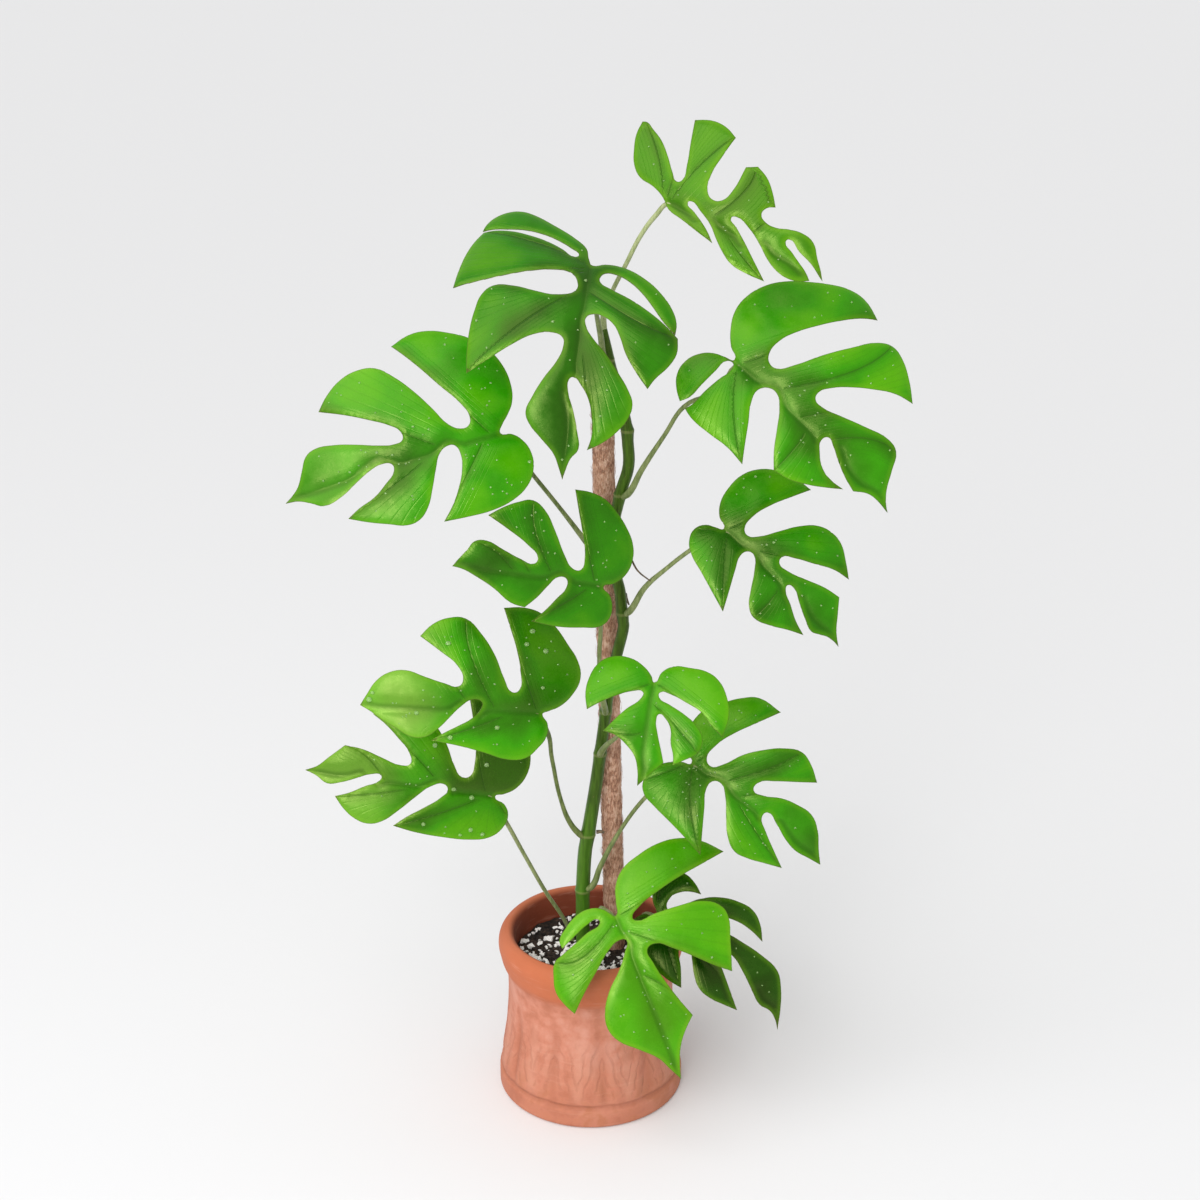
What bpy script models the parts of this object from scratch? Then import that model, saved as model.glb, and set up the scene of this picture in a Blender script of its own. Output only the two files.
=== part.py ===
# Climbing plant with split leaves on a fibre pole, in a clay pot.
# Up is +Z, the front is -Y, and the middle of the pot's foot is the origin.
import math

import bmesh
import bpy
from mathutils import Vector

MM = 0.001

# Pot, in mm.
POT_HEIGHT = 138.0
FOOT_RADIUS = 73.5
WAIST_RADIUS = 65.8
RIM_RADIUS = 73.0
MOUTH_RADIUS = 60.5
FLOOR_THICKNESS = 12.0
DRAIN_RADIUS = 5.0
DRAIN_DISTANCE = 32.0

# Soil, in mm.
SOIL_TOP = 115.0
SOIL_CROWN = 1.5
FIT_GAP = 0.3

# Fibre pole and the stake in it, in mm. The pole leans a little to the left.
POLE_RADIUS = 8.2
STAKE_RADIUS = 3.0
POLE_Y = 8.0
POLE_FOOT = (21.3, POLE_Y, 30.0)
POLE_TOP = (9.2, POLE_Y, 562.0)
STAKE_EXTRA = 5.0

# Vine, in mm.
STEM_Y = -7.0
STEM_RADIUS_LOW = 5.7
STEM_RADIUS_HIGH = 4.5
NODE_SWELLING = 0.7
PETIOLE_RADIUS = 1.9
SHEATH_RADIUS = 2.6

# Leaf blades, in mm and degrees.
BLADE_THICKNESS = 0.9
GRID_STEP = 18.0
MIDRIB_FOLD = 8.0
SIDE_CURL = 28.0
CURL_REACH = 80.0

# The stem's centre line at STEM_Y, as (x, z), from in the soil to the tip.
STEM_LINE = [
    (-6, 45), (-6, 100), (-6, 144), (-6, 175), (-4, 210), (0, 236), (5, 271), (9, 304), (13, 338), (19, 370),
    (25, 398), (22, 426), (16, 450), (18, 481), (22, 500), (28, 522), (27, 548), (22, 571), (13, 600), (10, 622),
]
NODE_HEIGHTS = (150, 175, 224, 293, 328, 408, 441, 500, 548, 600)

# Each blade: where it starts, the way it points, and its outline as (along, across).
# Across is positive on the left of the midrib, seen from above. The outline runs
# from the base down the left side to the tip and back up the right side.
LEAVES = {
    "leaf_01": {
        "base": (49, -20, 714), "heading": 58, "down": 16, "roll": 58, "length": 123, "droop": 25,
        "outline": [
            (0, 2), (-10, 6), (-22, 8), (-30, 14), (-36, 24), (-40, 34), (-41, 44), (-38, 45), (-31, 42), (-21, 37),
            (-10, 28), (-2, 20), (4, 15.5), (7, 18), (5, 28), (-1, 43), (-8, 60), (2, 64.5), (14, 64.5), (25, 60),
            (24, 45), (23.5, 30), (27, 18), (33, 14.5), (39, 17), (42, 25), (42, 44), (49, 48), (58, 44), (66, 37),
            (73, 28.5), (68, 25), (67, 20), (72, 16.5), (80, 16.5), (88, 19.5), (97, 21.3), (106, 19.5), (114, 11),
            (120, 5), (124, 0), (119, 2.6), (111, 6.5), (101, 9.5), (91, 13.5), (90, 11), (97, 7), (105, 3),
            (111, 0), (116, -4), (110, -8), (102, -10), (94, -9), (85, -5), (75, 2), (64, 8), (53, 11), (50, 9),
            (56, 5), (65, -1), (76, -9), (90, -19), (77, -20), (65, -19), (57, -15), (48, -8.5), (39, -1), (29, 4),
            (20, 7.5), (18, 6), (25, 2), (33, -2), (41, -7), (47, -12), (36, -10), (20, -6.5), (8, -4),
        ],
    },
    "leaf_02": {
        "base": (1, -60, 678), "heading": -7, "down": 30, "roll": -7, "length": 151, "droop": 60,
        "outline": [
            (0, 2), (-1.5, 10), (0, 22), (8, 38), (17, 49), (28, 58), (38, 62), (47, 62), (40, 54), (30, 45.5),
            (20, 36.5), (12, 27), (7.5, 18), (7, 11), (11, 8), (15, 8.5), (20, 16), (26, 29), (33, 42), (40, 53),
            (49, 64), (60, 64.5), (70, 60), (80, 52), (87, 48), (77, 39), (66, 31), (55, 26), (47, 21), (42, 14),
            (40.5, 7), (43, 2.5), (49, 3), (58, 9), (67, 18), (78, 27), (90, 36), (98, 39.5), (107, 38), (117, 31.5),
            (125, 23), (131, 13.5), (121, 15.5), (109, 14), (98, 10.5), (90, 5), (85, -1), (87, -3.5), (95, -3),
            (106, 1.5), (120, 6), (131, 8), (138, 3.5), (146, 1), (153, -0.5), (144, -4), (136, -8), (127, -17),
            (118, -26), (111, -29), (101, -26), (88, -20), (76, -13), (66, -10), (60, -11), (57.5, -17), (60, -30),
            (68, -43), (78, -56), (90, -71.5), (76, -73), (60, -73.5), (44, -72), (32, -69), (25, -62), (25, -48),
            (28, -34), (29, -18), (24, -7), (16, -7), (10, -12), (9, -22), (12, -38), (16, -55), (20, -72),
            (24, -90.5), (7, -88.5), (-9, -85.5), (-20, -81), (-27.5, -76), (-28.3, -68), (-26.5, -57),
            (-23, -46), (-18, -33), (-11, -20), (-5.5, -11), (-8, -8.5), (-13, -14), (-19, -24), (-24.2, -36),
            (-26.8, -46), (-28.3, -57), (-29.7, -68), (-28.8, -77), (-35, -75), (-42, -69), (-46, -60),
            (-46, -52), (-42, -42), (-33, -28),
            (-22, -11), (-15, -4), (-6, -1.5),
        ],
    },
    "leaf_03": {
        "base": (-60, -50, 559), "heading": -71, "down": 10, "roll": -62, "length": 155, "droop": 25,
        "outline": [
            (1, -0.5), (-6, 2), (-12, 8), (-15.5, 19), (-13, 31), (-6, 40), (6, 46.5), (22, 49.5), (40, 49),
            (56.5, 47.5), (48, 39), (40, 28), (34, 16), (32, 6), (34, -1), (39, -2), (45, 1), (51, 11), (57, 23),
            (64, 35), (72, 41.5), (81, 42.5), (93, 38), (106, 32.5), (118.5, 26), (109, 21.5), (97, 17.5), (87, 11),
            (79, 4), (79, -1), (86, -3), (95, -1), (106, 4), (118, 10), (132, 12.5), (140, 8), (149, 3.5), (158, 2),
            (151, -2), (146, -6), (140, -15), (134, -24), (127, -27), (113, -25.5), (98, -21), (84, -16), (73, -13.5),
            (67, -15), (67, -21), (73, -27), (84, -34), (100, -43), (117, -51), (108, -61), (96, -69), (83, -72),
            (71, -69.5), (60, -59), (50, -45), (41, -29), (34, -16), (27, -11), (21, -11.5), (18.5, -17), (22, -28),
            (32, -44), (43, -63), (55.5, -82), (42, -87), (28, -86.5), (13, -80), (0, -71), (-9, -60), (-14.5, -47),
            (-16, -32), (-13, -19), (-7, -11), (-2, -6),
        ],
    },
    "leaf_04": {
        "base": (99, -40, 608), "heading": 55, "down": 31, "roll": 48, "length": 150, "droop": 30,
        "outline": [
            (0, 1), (-8, 6), (-17, 15), (-24, 27), (-25.5, 40), (-22, 55), (-15, 67), (-5, 78), (8, 89.5), (20, 97),
            (33, 99.5), (51, 94), (42, 85), (33, 72), (25, 58), (18, 44), (14, 31), (15, 20), (20, 15), (26, 15.5),
            (33, 25), (42, 44), (52, 62), (63, 80), (72, 86), (84, 84), (96, 77), (110, 65), (97, 61), (84, 52),
            (72, 42), (62, 31), (58, 23), (60, 18), (67, 17.5), (80, 22), (97, 28.5), (115, 34), (124, 32), (131, 21),
            (138, 9), (144, 3), (150, -1), (140, -0.5), (131, -2), (122, -8.5), (112, -6), (100, -1), (90, 4),
            (84, 5.5), (82, 1), (87, -6), (96, -12.5), (106, -14), (116, -12.5), (107, -20), (96, -28), (84, -34.5),
            (73, -37), (64, -27.5), (55, -15), (46, -3), (38, 3), (31, 2), (27, -4), (30, -14), (38, -25), (47, -38),
            (55, -49), (40, -47.5), (24, -49), (8, -49.5), (-1, -47.5), (1, -42), (1.2, -30), (2.2, -17), (3.6, -6),
            (1, -1.5), (-3, -3), (-3.6, -14), (-3.6, -28), (-3.6, -39), (-7, -46), (-15, -41), (-22, -33), (-24, -23),
            (-21, -13), (-14, -5.5), (-6, -2),
        ],
    },
    "leaf_05": {
        "base": (11, -70, 453), "heading": -69, "down": -15, "roll": -73, "length": 109, "droop": 20,
        "outline": [
            (1, 0), (-4, 5), (-7, 13), (-5.5, 22), (1, 28), (13, 30), (32, 31.5), (51, 30), (43, 22), (35, 12),
            (29, 4), (29, -2), (35, -3), (42, 4), (49, 13), (57, 21), (67, 19), (80, 10.5), (93, 4), (103, 0),
            (110, -1), (106, -7), (101, -14), (97, -20), (89, -21.5), (77, -17), (64, -12), (54, -10), (52, -14),
            (60, -22), (74, -30.5), (90, -39), (80, -46), (70, -51), (60, -53.5), (51, -48), (42, -34), (33, -18),
            (26, -10), (20, -10), (18.5, -18), (22, -34), (26, -49), (30, -65.5), (18, -65), (6, -61), (-3, -53),
            (-11, -43), (-16.5, -33), (-18, -22), (-14, -10), (-6, -3),
        ],
    },
    "leaf_06": {
        "base": (95, -30, 483), "heading": 56, "down": 32, "roll": 44, "length": 123, "droop": 30,
        "outline": [
            (1, 0), (-7, 4), (-14, 12), (-17.5, 24), (-17.5, 38), (-13, 49), (-4, 58), (8, 64), (25, 66), (19, 51),
            (13, 35), (10, 20), (12, 10), (17, 8), (23, 13), (30, 25), (38, 39), (48, 50), (58, 53.5), (68, 52.5),
            (79, 46), (90, 38), (78, 35), (64, 27), (52, 20), (45, 14), (47, 9.5), (55, 10), (68, 15), (82, 21),
            (94, 24), (102, 15), (111, 5.5), (120, 0), (110, -1), (103, -5), (97, -8), (88, -5), (77, 0), (67, 4.5),
            (62, 3), (64, -1), (73, -5.5), (84, -11), (95, -14), (84, -20), (73, -27), (61, -31.5), (53, -28),
            (46, -19), (38, -7), (30, 1), (25, 0), (23.5, -6), (28, -16), (35, -29), (43, -44), (28, -39.5),
            (12, -34.5), (-2, -30), (-10, -24), (-13.5, -15), (-10, -7), (-4, -3.5),
        ],
    },
    "leaf_07": {
        "base": (-33, -60, 351), "heading": -67, "down": -10, "roll": -70, "length": 130, "droop": 30,
        "outline": [
            (1, 0.5), (-2.5, 7), (-1.5, 17), (5, 25), (14, 32), (28, 33), (45, 28), (64, 23), (83, 19.5), (74, 14),
            (64, 9), (54, 3.5), (48, -3), (47, -8), (54, -10), (62, -5), (70, 3), (78, 11), (87, 17), (97, 17),
            (108, 11), (119, 4.5), (127, -1), (134, -5), (129, -13), (123, -22), (114, -28.5), (102, -30.5),
            (88, -26), (74, -21.5), (64, -19.5), (61, -24), (65, -34), (77, -44), (92, -55), (83, -64), (71, -69),
            (59, -68.5), (48, -58), (38, -42), (31, -25), (25, -15.5), (20, -17), (19, -30), (22, -47), (26, -62),
            (30, -77), (14, -77.5), (0, -73), (-10, -63), (-18, -51), (-26, -38), (-28, -26), (-22, -14), (-12, -5),
            (-3, -1.5),
        ],
    },
    "leaf_08": {
        "base": (-71, -20, 263), "heading": -76, "down": -14, "roll": -72, "length": 146, "droop": 20,
        "outline": [
            (1, 0), (-7, 5), (-11, 13), (-8, 23), (1, 31), (16, 34.5), (36, 35), (56, 34), (75, 31), (66, 23),
            (54, 14.5), (42, 5), (38, -1), (42, -5), (51, -2), (61, 7), (73, 19.5), (84, 29), (94, 32), (104, 29.5),
            (113, 23.5), (121, 15), (111, 11), (100, 4.5), (90, -1), (89, -5), (97, -5), (108, 0), (119, 4.5),
            (128, 6.5), (137, 2), (146, -1), (138, -5), (130, -13), (119, -24), (106, -23), (90, -18.5), (76, -15),
            (69, -17), (71, -25), (81, -35), (92, -44), (102, -50), (90, -57), (76, -60), (63, -56), (53, -47),
            (44, -35), (36, -20), (29, -12), (23, -13.5), (21, -24), (23, -42), (27, -58), (31, -73), (16, -73),
            (2, -68), (-9, -59), (-17, -48), (-21.5, -35), (-21, -20), (-14, -8), (-5, -2.5),
        ],
    },
    "leaf_09": {
        "base": (45, -90, 390), "heading": 14, "down": 39, "roll": 12, "length": 65, "droop": 26,
        "outline": [
            (1, 0.5), (-5, 7), (-7.5, 16), (-4, 27), (1, 38), (9, 45), (22, 48), (36, 46.5), (50, 39), (40, 32.5),
            (30, 28), (21, 19), (13, 10), (9.5, 3), (13, 1.5), (20, 7.5), (29, 16), (38, 22.5), (48, 25), (57, 20),
            (60, 10), (62, 1), (55, 2.5), (47, 2.5), (37, 4.5), (29, 2.5), (25, -1), (29, -4), (38, -5), (49, -5),
            (59, -5), (64, -14), (71, -26), (61, -24), (51, -24), (42, -28), (34, -34), (29, -42), (23, -33),
            (17, -23), (11, -11), (7, -9), (5, -16), (6, -28), (8, -39), (11, -50), (-2, -48.5), (-12, -44),
            (-21, -36), (-24.5, -26), (-21, -13), (-12, -4), (-4, -0.5),
        ],
    },
    "leaf_10": {
        "base": (75, -30, 297), "heading": 59, "down": 26, "roll": 49, "length": 126, "droop": 30,
        "outline": [
            (1, 0), (-8, 5), (-15, 15), (-17.5, 28), (-15, 41), (-8, 52), (0, 63), (10, 71.5), (30, 73), (21, 54),
            (13, 38), (7.5, 21), (8, 10), (14, 7), (20, 13), (28, 29), (37, 40.5), (49, 52), (61, 58), (72, 55),
            (84, 47), (72, 38), (60, 29), (49, 18.5), (50, 12.5), (58, 14), (70, 21), (82, 24.5), (95, 25.5),
            (106, 19.5), (116, 9), (125, 1), (114, -1), (102, -3), (91, -1), (79, 3.5), (68, 6), (67, 1), (76, -6),
            (88, -12.5), (102, -19.5), (89, -25), (77, -30), (66, -32), (55, -26), (46, -16), (36, -4), (28, 1.5),
            (22, -1), (22, -9), (29, -20), (38, -34), (48.5, -50), (32, -47), (14, -44.5), (-2, -42.5), (-13, -40),
            (-19.5, -32), (-19, -20), (-13, -10), (-5, -3.5),
        ],
    },
    "leaf_11": {
        "base": (19, -70, 189), "heading": 31, "down": 45, "roll": 27, "length": 131, "droop": 30,
        "outline": [
            (0, 0), (-9, 4), (-20, 8), (-30, 17), (-36, 33), (-39, 50), (-37.5, 67), (-31, 82), (-17, 97),
            (-13.5, 78), (-10.5, 60), (-5, 36), (1, 18), (6, 11.5), (9, 13), (9.5, 28), (10.5, 46), (13, 64),
            (21, 77), (30, 80), (50, 74), (71, 66.5), (61, 55), (50, 44), (38, 31), (30, 20), (32, 13), (42, 13.5),
            (57, 16.5), (73, 21), (89, 26.5), (97, 18), (108, 9.5), (120, 4.5), (132, 1), (121, -4), (110, -9),
            (98, -20), (86, -32), (75, -36), (64, -34), (50, -25), (38, -12), (27, -3), (20, 1), (18, -4),
            (22, -14), (32, -27), (44, -42), (56, -55), (46, -60), (36, -62.5), (25, -60), (15, -55), (12, -47),
            (8, -35), (4, -24), (1, -13), (-2, -13), (-1.5, -22), (3, -34), (8, -46), (2, -46), (-5, -38.5),
            (-11, -27), (-12, -16), (-8, -7), (-3, -3),
        ],
    },
    "leaf_12": {
        "base": (50, -40, 172), "heading": 57, "down": 28, "roll": 43, "length": 130, "droop": 30,
        "outline": [
            (0, 0), (-8.5, 6.5), (-16, 15), (-19, 26.5), (-13, 35), (-4, 39), (6.5, 38.5), (16, 35), (8.5, 31),
            (3, 25.5), (0, 17), (4, 9.5), (8.5, 11.5), (12, 21.5), (19, 34), (30, 44.5), (41.5, 50.5), (53, 53),
            (64, 49), (74.5, 39.5), (62, 40), (50, 38), (39.5, 33), (31, 25.5), (29, 19), (36, 18.5),
            (49, 25.5), (64, 29), (81, 31.5), (98, 31), (108.5, 23.5), (119.5, 11.5), (129, -1), (122.5, 3),
            (114, 5), (104.5, 3), (92.5, 7), (78, 12.5), (63, 16), (54.5, 13), (56.5, 7.5), (66, 3), (79, -4),
            (94, -12), (83, -16), (71.5, -19.5), (61, -19.5), (51, -14), (42.5, -6.5), (34, 0), (28.5, -2),
            (31, -8.5), (40.5, -17), (51, -28.5), (36, -31), (19, -30.5), (4, -28), (-5.5, -22.5), (-10.5, -14),
            (-7.5, -5.5),
        ],
    },
}

# Each petiole: points in mm from the stem or the soil, and where it comes in under
# the blade, as (along, across).
PETIOLES = {
    "petiole_01": {
        "leaf": "leaf_01", "enter": (0, -10),
        "points": [(9.9, -7, 623), (10.4, -8.5, 634), (16, -13, 650), (25, -17, 669), (36, -19, 691)],
    },
    "petiole_02": {
        "leaf": "leaf_02", "enter": (14, 5),
        "points": [(10.3, -14, 603), (8, -22, 620), (5, -34, 640)],
    },
    "petiole_03": {
        "leaf": "leaf_03", "enter": (-6, 16),
        "points": [(11.4, -11.7, 445), (-2, -16, 466), (-21, -20, 494), (-40, -28, 522)],
    },
    "petiole_04": {
        "leaf": "leaf_04", "enter": (6.5, -20),
        "points": [(27.8, -13.3, 503), (37, -18, 522), (53, -24, 550), (66, -29, 572)],
    },
    "petiole_05": {
        "leaf": "leaf_05", "enter": (0, 12),
        "points": [(11.3, -14.2, 332), (8, -30, 358), (7, -40, 386), (8, -49, 412)],
    },
    "petiole_06": {
        "leaf": "leaf_06", "enter": (-3, -16),
        "points": [(29.5, -12.5, 412), (40, -15, 431), (56, -19, 448), (70, -22, 461)],
    },
    "petiole_07": {
        "leaf": "leaf_07", "enter": (-3, 10),
        "points": [(-8.2, -10.3, 226), (-15, -14, 237), (-22, -22, 261), (-28, -38, 303)],
    },
    "petiole_08": {
        "leaf": "leaf_08", "enter": (-6, 12),
        "points": [(-11, 17, 80), (-14, 15, 113), (-19, 10, 134), (-36, 0, 171), (-51, -7, 206)],
    },
    "petiole_09": {
        "leaf": "leaf_09", "enter": (9, -7),
        "points": [(8, -14.5, 297), (12, -22, 307), (20, -34, 320), (31, -55, 345)],
    },
    "petiole_10": {
        "leaf": "leaf_10", "enter": (-7, -20),
        "points": [(1, -12.5, 181), (8, -15, 201), (24, -18, 235), (41, -21, 262)],
    },
    "petiole_11": {
        "leaf": "leaf_11", "enter": (-7, -5),
        "points": [(-4.5, -14.5, 153), (0, -24, 164), (6, -38, 174)],
    },
    "petiole_12": {
        "leaf": "leaf_12", "enter": (-7, -4),
        "points": [(33, -14, 80), (34, -15, 112), (37, -18, 135), (42, -27, 155)],
    },
}
IN_SOIL = ("petiole_08", "petiole_12")

# Aerial roots: points in mm and the radius at each end.
ROOTS = {
    "aerial_root_01": {
        "points": [(21.4, -7.5, 457), (29, -11, 453), (35, -14, 444), (44, -19, 438)], "radii": (1.0, 0.5),
    },
    "aerial_root_02": {"points": [(26, -2, 421), (27, 0, 417), (29, 2, 411)], "radii": (1.6, 0.6)},
    "aerial_root_03": {"points": [(4.8, -7, 226), (8.5, -7.4, 226.5), (11, -8, 226)], "radii": (1.7, 0.9)},
}

COLOURS = {
    "pot": (0.62, 0.27, 0.17),
    "soil": (0.045, 0.03, 0.022),
    "pole_stake": (0.30, 0.20, 0.10),
    "fibre_pole": (0.36, 0.17, 0.09),
    "vine_stem": (0.06, 0.16, 0.03),
}
LEAF_COLOUR = (0.08, 0.27, 0.012)
PETIOLE_COLOUR = (0.20, 0.27, 0.07)
ROOT_COLOUR = (0.16, 0.10, 0.06)


def clear_scene():
    for thing in list(bpy.data.objects):
        bpy.data.objects.remove(thing, do_unlink=True)


def paint(thing, colour, roughness):
    material = bpy.data.materials.new(thing.name)
    material.use_nodes = True
    shader = material.node_tree.nodes["Principled BSDF"]
    shader.inputs["Base Color"].default_value = (*colour, 1.0)
    shader.inputs["Roughness"].default_value = roughness
    thing.data.materials.clear()
    thing.data.materials.append(material)


def link(name, data):
    thing = bpy.data.objects.new(name, data)
    bpy.context.scene.collection.objects.link(thing)
    return thing


def turned(name, profile, sides):
    # A profile of (radius, height) in mm that starts and ends on the axis.
    mesh = bpy.data.meshes.new(name)
    points = [(radius * MM, 0.0, height * MM) for radius, height in profile]
    edges = [(i, i + 1) for i in range(len(points) - 1)]
    mesh.from_pydata(points, edges, [])
    thing = link(name, mesh)
    screw = thing.modifiers.new("Screw", "SCREW")
    screw.axis = "Z"
    screw.steps = sides
    screw.render_steps = sides
    screw.use_merge_vertices = True
    screw.merge_threshold = 0.00001
    screw.use_normal_calculate = True
    return thing


def hide(cutter):
    cutter.hide_render = True
    cutter.display_type = "WIRE"


def cut(thing, cutter):
    hide(cutter)
    boolean = thing.modifiers.new("Cut", "BOOLEAN")
    boolean.operation = "DIFFERENCE"
    boolean.solver = "EXACT"
    boolean.object = cutter


def rod(name, start, end, radius, sides):
    # A straight round rod between two points in mm.
    first = Vector(start) * MM
    last = Vector(end) * MM
    mesh = bpy.data.meshes.new(name)
    shape = bmesh.new()
    bmesh.ops.create_cone(
        shape, cap_ends=True, segments=sides, radius1=radius * MM, radius2=radius * MM, depth=(last - first).length
    )
    shape.to_mesh(mesh)
    shape.free()
    thing = link(name, mesh)
    turn = (last - first).to_track_quat("Z", "Y")
    mesh.transform(turn.to_matrix().to_4x4())
    thing.location = (first + last) / 2
    return thing


def tube_curve(name, points, radii, sides, steps):
    # A round tube through points in mm, with a radius in mm at each point.
    data = bpy.data.curves.new(name, "CURVE")
    data.dimensions = "3D"
    data.resolution_u = steps
    data.render_resolution_u = steps
    data.bevel_depth = MM
    data.bevel_resolution = max(sides // 4 - 1, 0)
    data.use_fill_caps = True
    spline = data.splines.new("BEZIER")
    spline.bezier_points.add(len(points) - 1)
    for knot, point, radius in zip(spline.bezier_points, points, radii):
        knot.co = Vector(point) * MM
        knot.radius = radius
        knot.handle_left_type = "AUTO"
        knot.handle_right_type = "AUTO"
    return link(name, data)


# Pot and soil.

def pot_profile():
    return [
        (0, 0), (FOOT_RADIUS - 2, 0), (FOOT_RADIUS, 2), (FOOT_RADIUS, 13), (FOOT_RADIUS - 1.2, 16),
        (FOOT_RADIUS - 1.6, 18), (FOOT_RADIUS - 0.7, 21), (FOOT_RADIUS - 2.5, 36), (WAIST_RADIUS + 2.2, 58),
        (WAIST_RADIUS + 0.3, 78), (WAIST_RADIUS, 94), (WAIST_RADIUS + 1.2, 104), (WAIST_RADIUS + 4.4, 112),
        (RIM_RADIUS - 1.2, 119), (RIM_RADIUS, 125), (RIM_RADIUS - 0.6, 131), (RIM_RADIUS - 3, 135.5),
        (RIM_RADIUS - 6.5, 137.7), (MOUTH_RADIUS + 4.5, POT_HEIGHT), (MOUTH_RADIUS + 1.5, 136),
        (MOUTH_RADIUS, 131), (MOUTH_RADIUS - 0.5, 118), (MOUTH_RADIUS - 1, 60), (MOUTH_RADIUS - 2, 20),
        (MOUTH_RADIUS - 5, FLOOR_THICKNESS), (0, FLOOR_THICKNESS),
    ]


def build_pot():
    pot = turned("pot", pot_profile(), 48)
    for number in range(3):
        angle = math.radians(30 + 120 * number)
        x = DRAIN_DISTANCE * math.cos(angle)
        y = DRAIN_DISTANCE * math.sin(angle)
        cutter = rod("drain_cutter_%d" % number, (x, y, -5), (x, y, FLOOR_THICKNESS + 5), DRAIN_RADIUS, 16)
        cut(pot, cutter)
    paint(pot, COLOURS["pot"], 0.8)


def build_soil():
    profile = [
        (0, FLOOR_THICKNESS + FIT_GAP), (MOUTH_RADIUS - 6, FLOOR_THICKNESS + FIT_GAP), (MOUTH_RADIUS - 2.6, 21),
        (MOUTH_RADIUS - 1.5, 60), (MOUTH_RADIUS - 1, SOIL_TOP - 2), (MOUTH_RADIUS - 4, SOIL_TOP),
        (MOUTH_RADIUS / 2, SOIL_TOP + SOIL_CROWN * 0.8), (0, SOIL_TOP + SOIL_CROWN),
    ]
    soil = turned("soil", profile, 48)
    stem_foot = (STEM_LINE[0][0], STEM_Y, STEM_LINE[0][1] - FIT_GAP)
    stem_out = (STEM_LINE[2][0], STEM_Y, STEM_LINE[2][1])
    cut(soil, rod("stem_hole", stem_foot, stem_out, STEM_RADIUS_LOW + FIT_GAP, 20))
    lean = (Vector(POLE_TOP) - Vector(POLE_FOOT)).normalized()
    pole_low = Vector(POLE_FOOT) - lean * FIT_GAP
    pole_out = Vector(POLE_FOOT) + lean * 120
    cut(soil, rod("pole_hole", pole_low, pole_out, POLE_RADIUS + FIT_GAP, 32))
    for name in IN_SOIL:
        first, second = PETIOLES[name]["points"][:2]
        way = (Vector(second) - Vector(first)).normalized()
        low = Vector(first) - way * FIT_GAP
        cut(soil, rod(name + "_hole", low, Vector(second) + way * 20, SHEATH_RADIUS + FIT_GAP + 0.3, 16))
    paint(soil, COLOURS["soil"], 0.95)


def build_pole():
    first = Vector(POLE_FOOT)
    last = Vector(POLE_TOP)
    lean = (last - first).normalized()
    sleeve = rod("fibre_pole", first, last, POLE_RADIUS, 32)
    bore = rod("pole_bore", first - lean * 5, last + lean * 5, STAKE_RADIUS + FIT_GAP, 16)
    cut(sleeve, bore)
    paint(sleeve, COLOURS["fibre_pole"], 0.95)
    stake = rod("pole_stake", first, last + lean * STAKE_EXTRA, STAKE_RADIUS, 16)
    paint(stake, COLOURS["pole_stake"], 0.7)


# Vine.

def stem_radius(height):
    share = min(max((height - 200) / 150, 0), 1)
    return STEM_RADIUS_LOW + (STEM_RADIUS_HIGH - STEM_RADIUS_LOW) * share


def build_stem():
    points = []
    radii = []
    for x, z in STEM_LINE:
        points.append((x, STEM_Y, z))
        near_node = min(abs(z - height) for height in NODE_HEIGHTS) < 4
        radii.append(stem_radius(z) + (NODE_SWELLING if near_node else 0))
    stem = tube_curve("vine_stem", points, radii, 12, 3)
    paint(stem, COLOURS["vine_stem"], 0.45)


def blade_frame(leaf):
    # Along the midrib, to its left seen from above, and out of the upper face.
    heading = math.radians(leaf["heading"])
    down = math.radians(leaf["down"])
    roll = math.radians(leaf["roll"])
    along = Vector((math.sin(heading) * math.cos(down), -math.cos(heading) * math.cos(down), -math.sin(down)))
    level = Vector((0, 0, 1)).cross(along).normalized()
    out = along.cross(level)
    across = level * math.cos(roll) + out * math.sin(roll)
    return along, across, along.cross(across)


def blade_point(leaf, u, v):
    # The upper face droops from the base to the tip and curls down towards both edges.
    along, across, out = blade_frame(leaf)
    bend = math.radians(leaf["droop"]) / leaf["length"]
    curl = math.radians(SIDE_CURL) / CURL_REACH
    fold = math.radians(MIDRIB_FOLD)
    turn = bend * max(u, 0)
    reach = abs(v)
    side = (math.sin(fold) - math.sin(fold - curl * reach)) / curl * (1 if v > 0 else -1)
    lift = (math.cos(fold - curl * reach) - math.cos(fold)) / curl
    here = Vector(leaf["base"]) + along * (math.sin(turn) / bend + min(u, 0)) - out * ((1 - math.cos(turn)) / bend)
    normal = along * math.sin(turn) + out * math.cos(turn)
    return here + across * side + normal * lift


def grid_cut(shape, normal, places):
    for place in places:
        bmesh.ops.bisect_plane(
            shape, geom=shape.verts[:] + shape.edges[:] + shape.faces[:], dist=0.0001,
            plane_co=Vector(normal) * place, plane_no=normal,
        )


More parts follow.
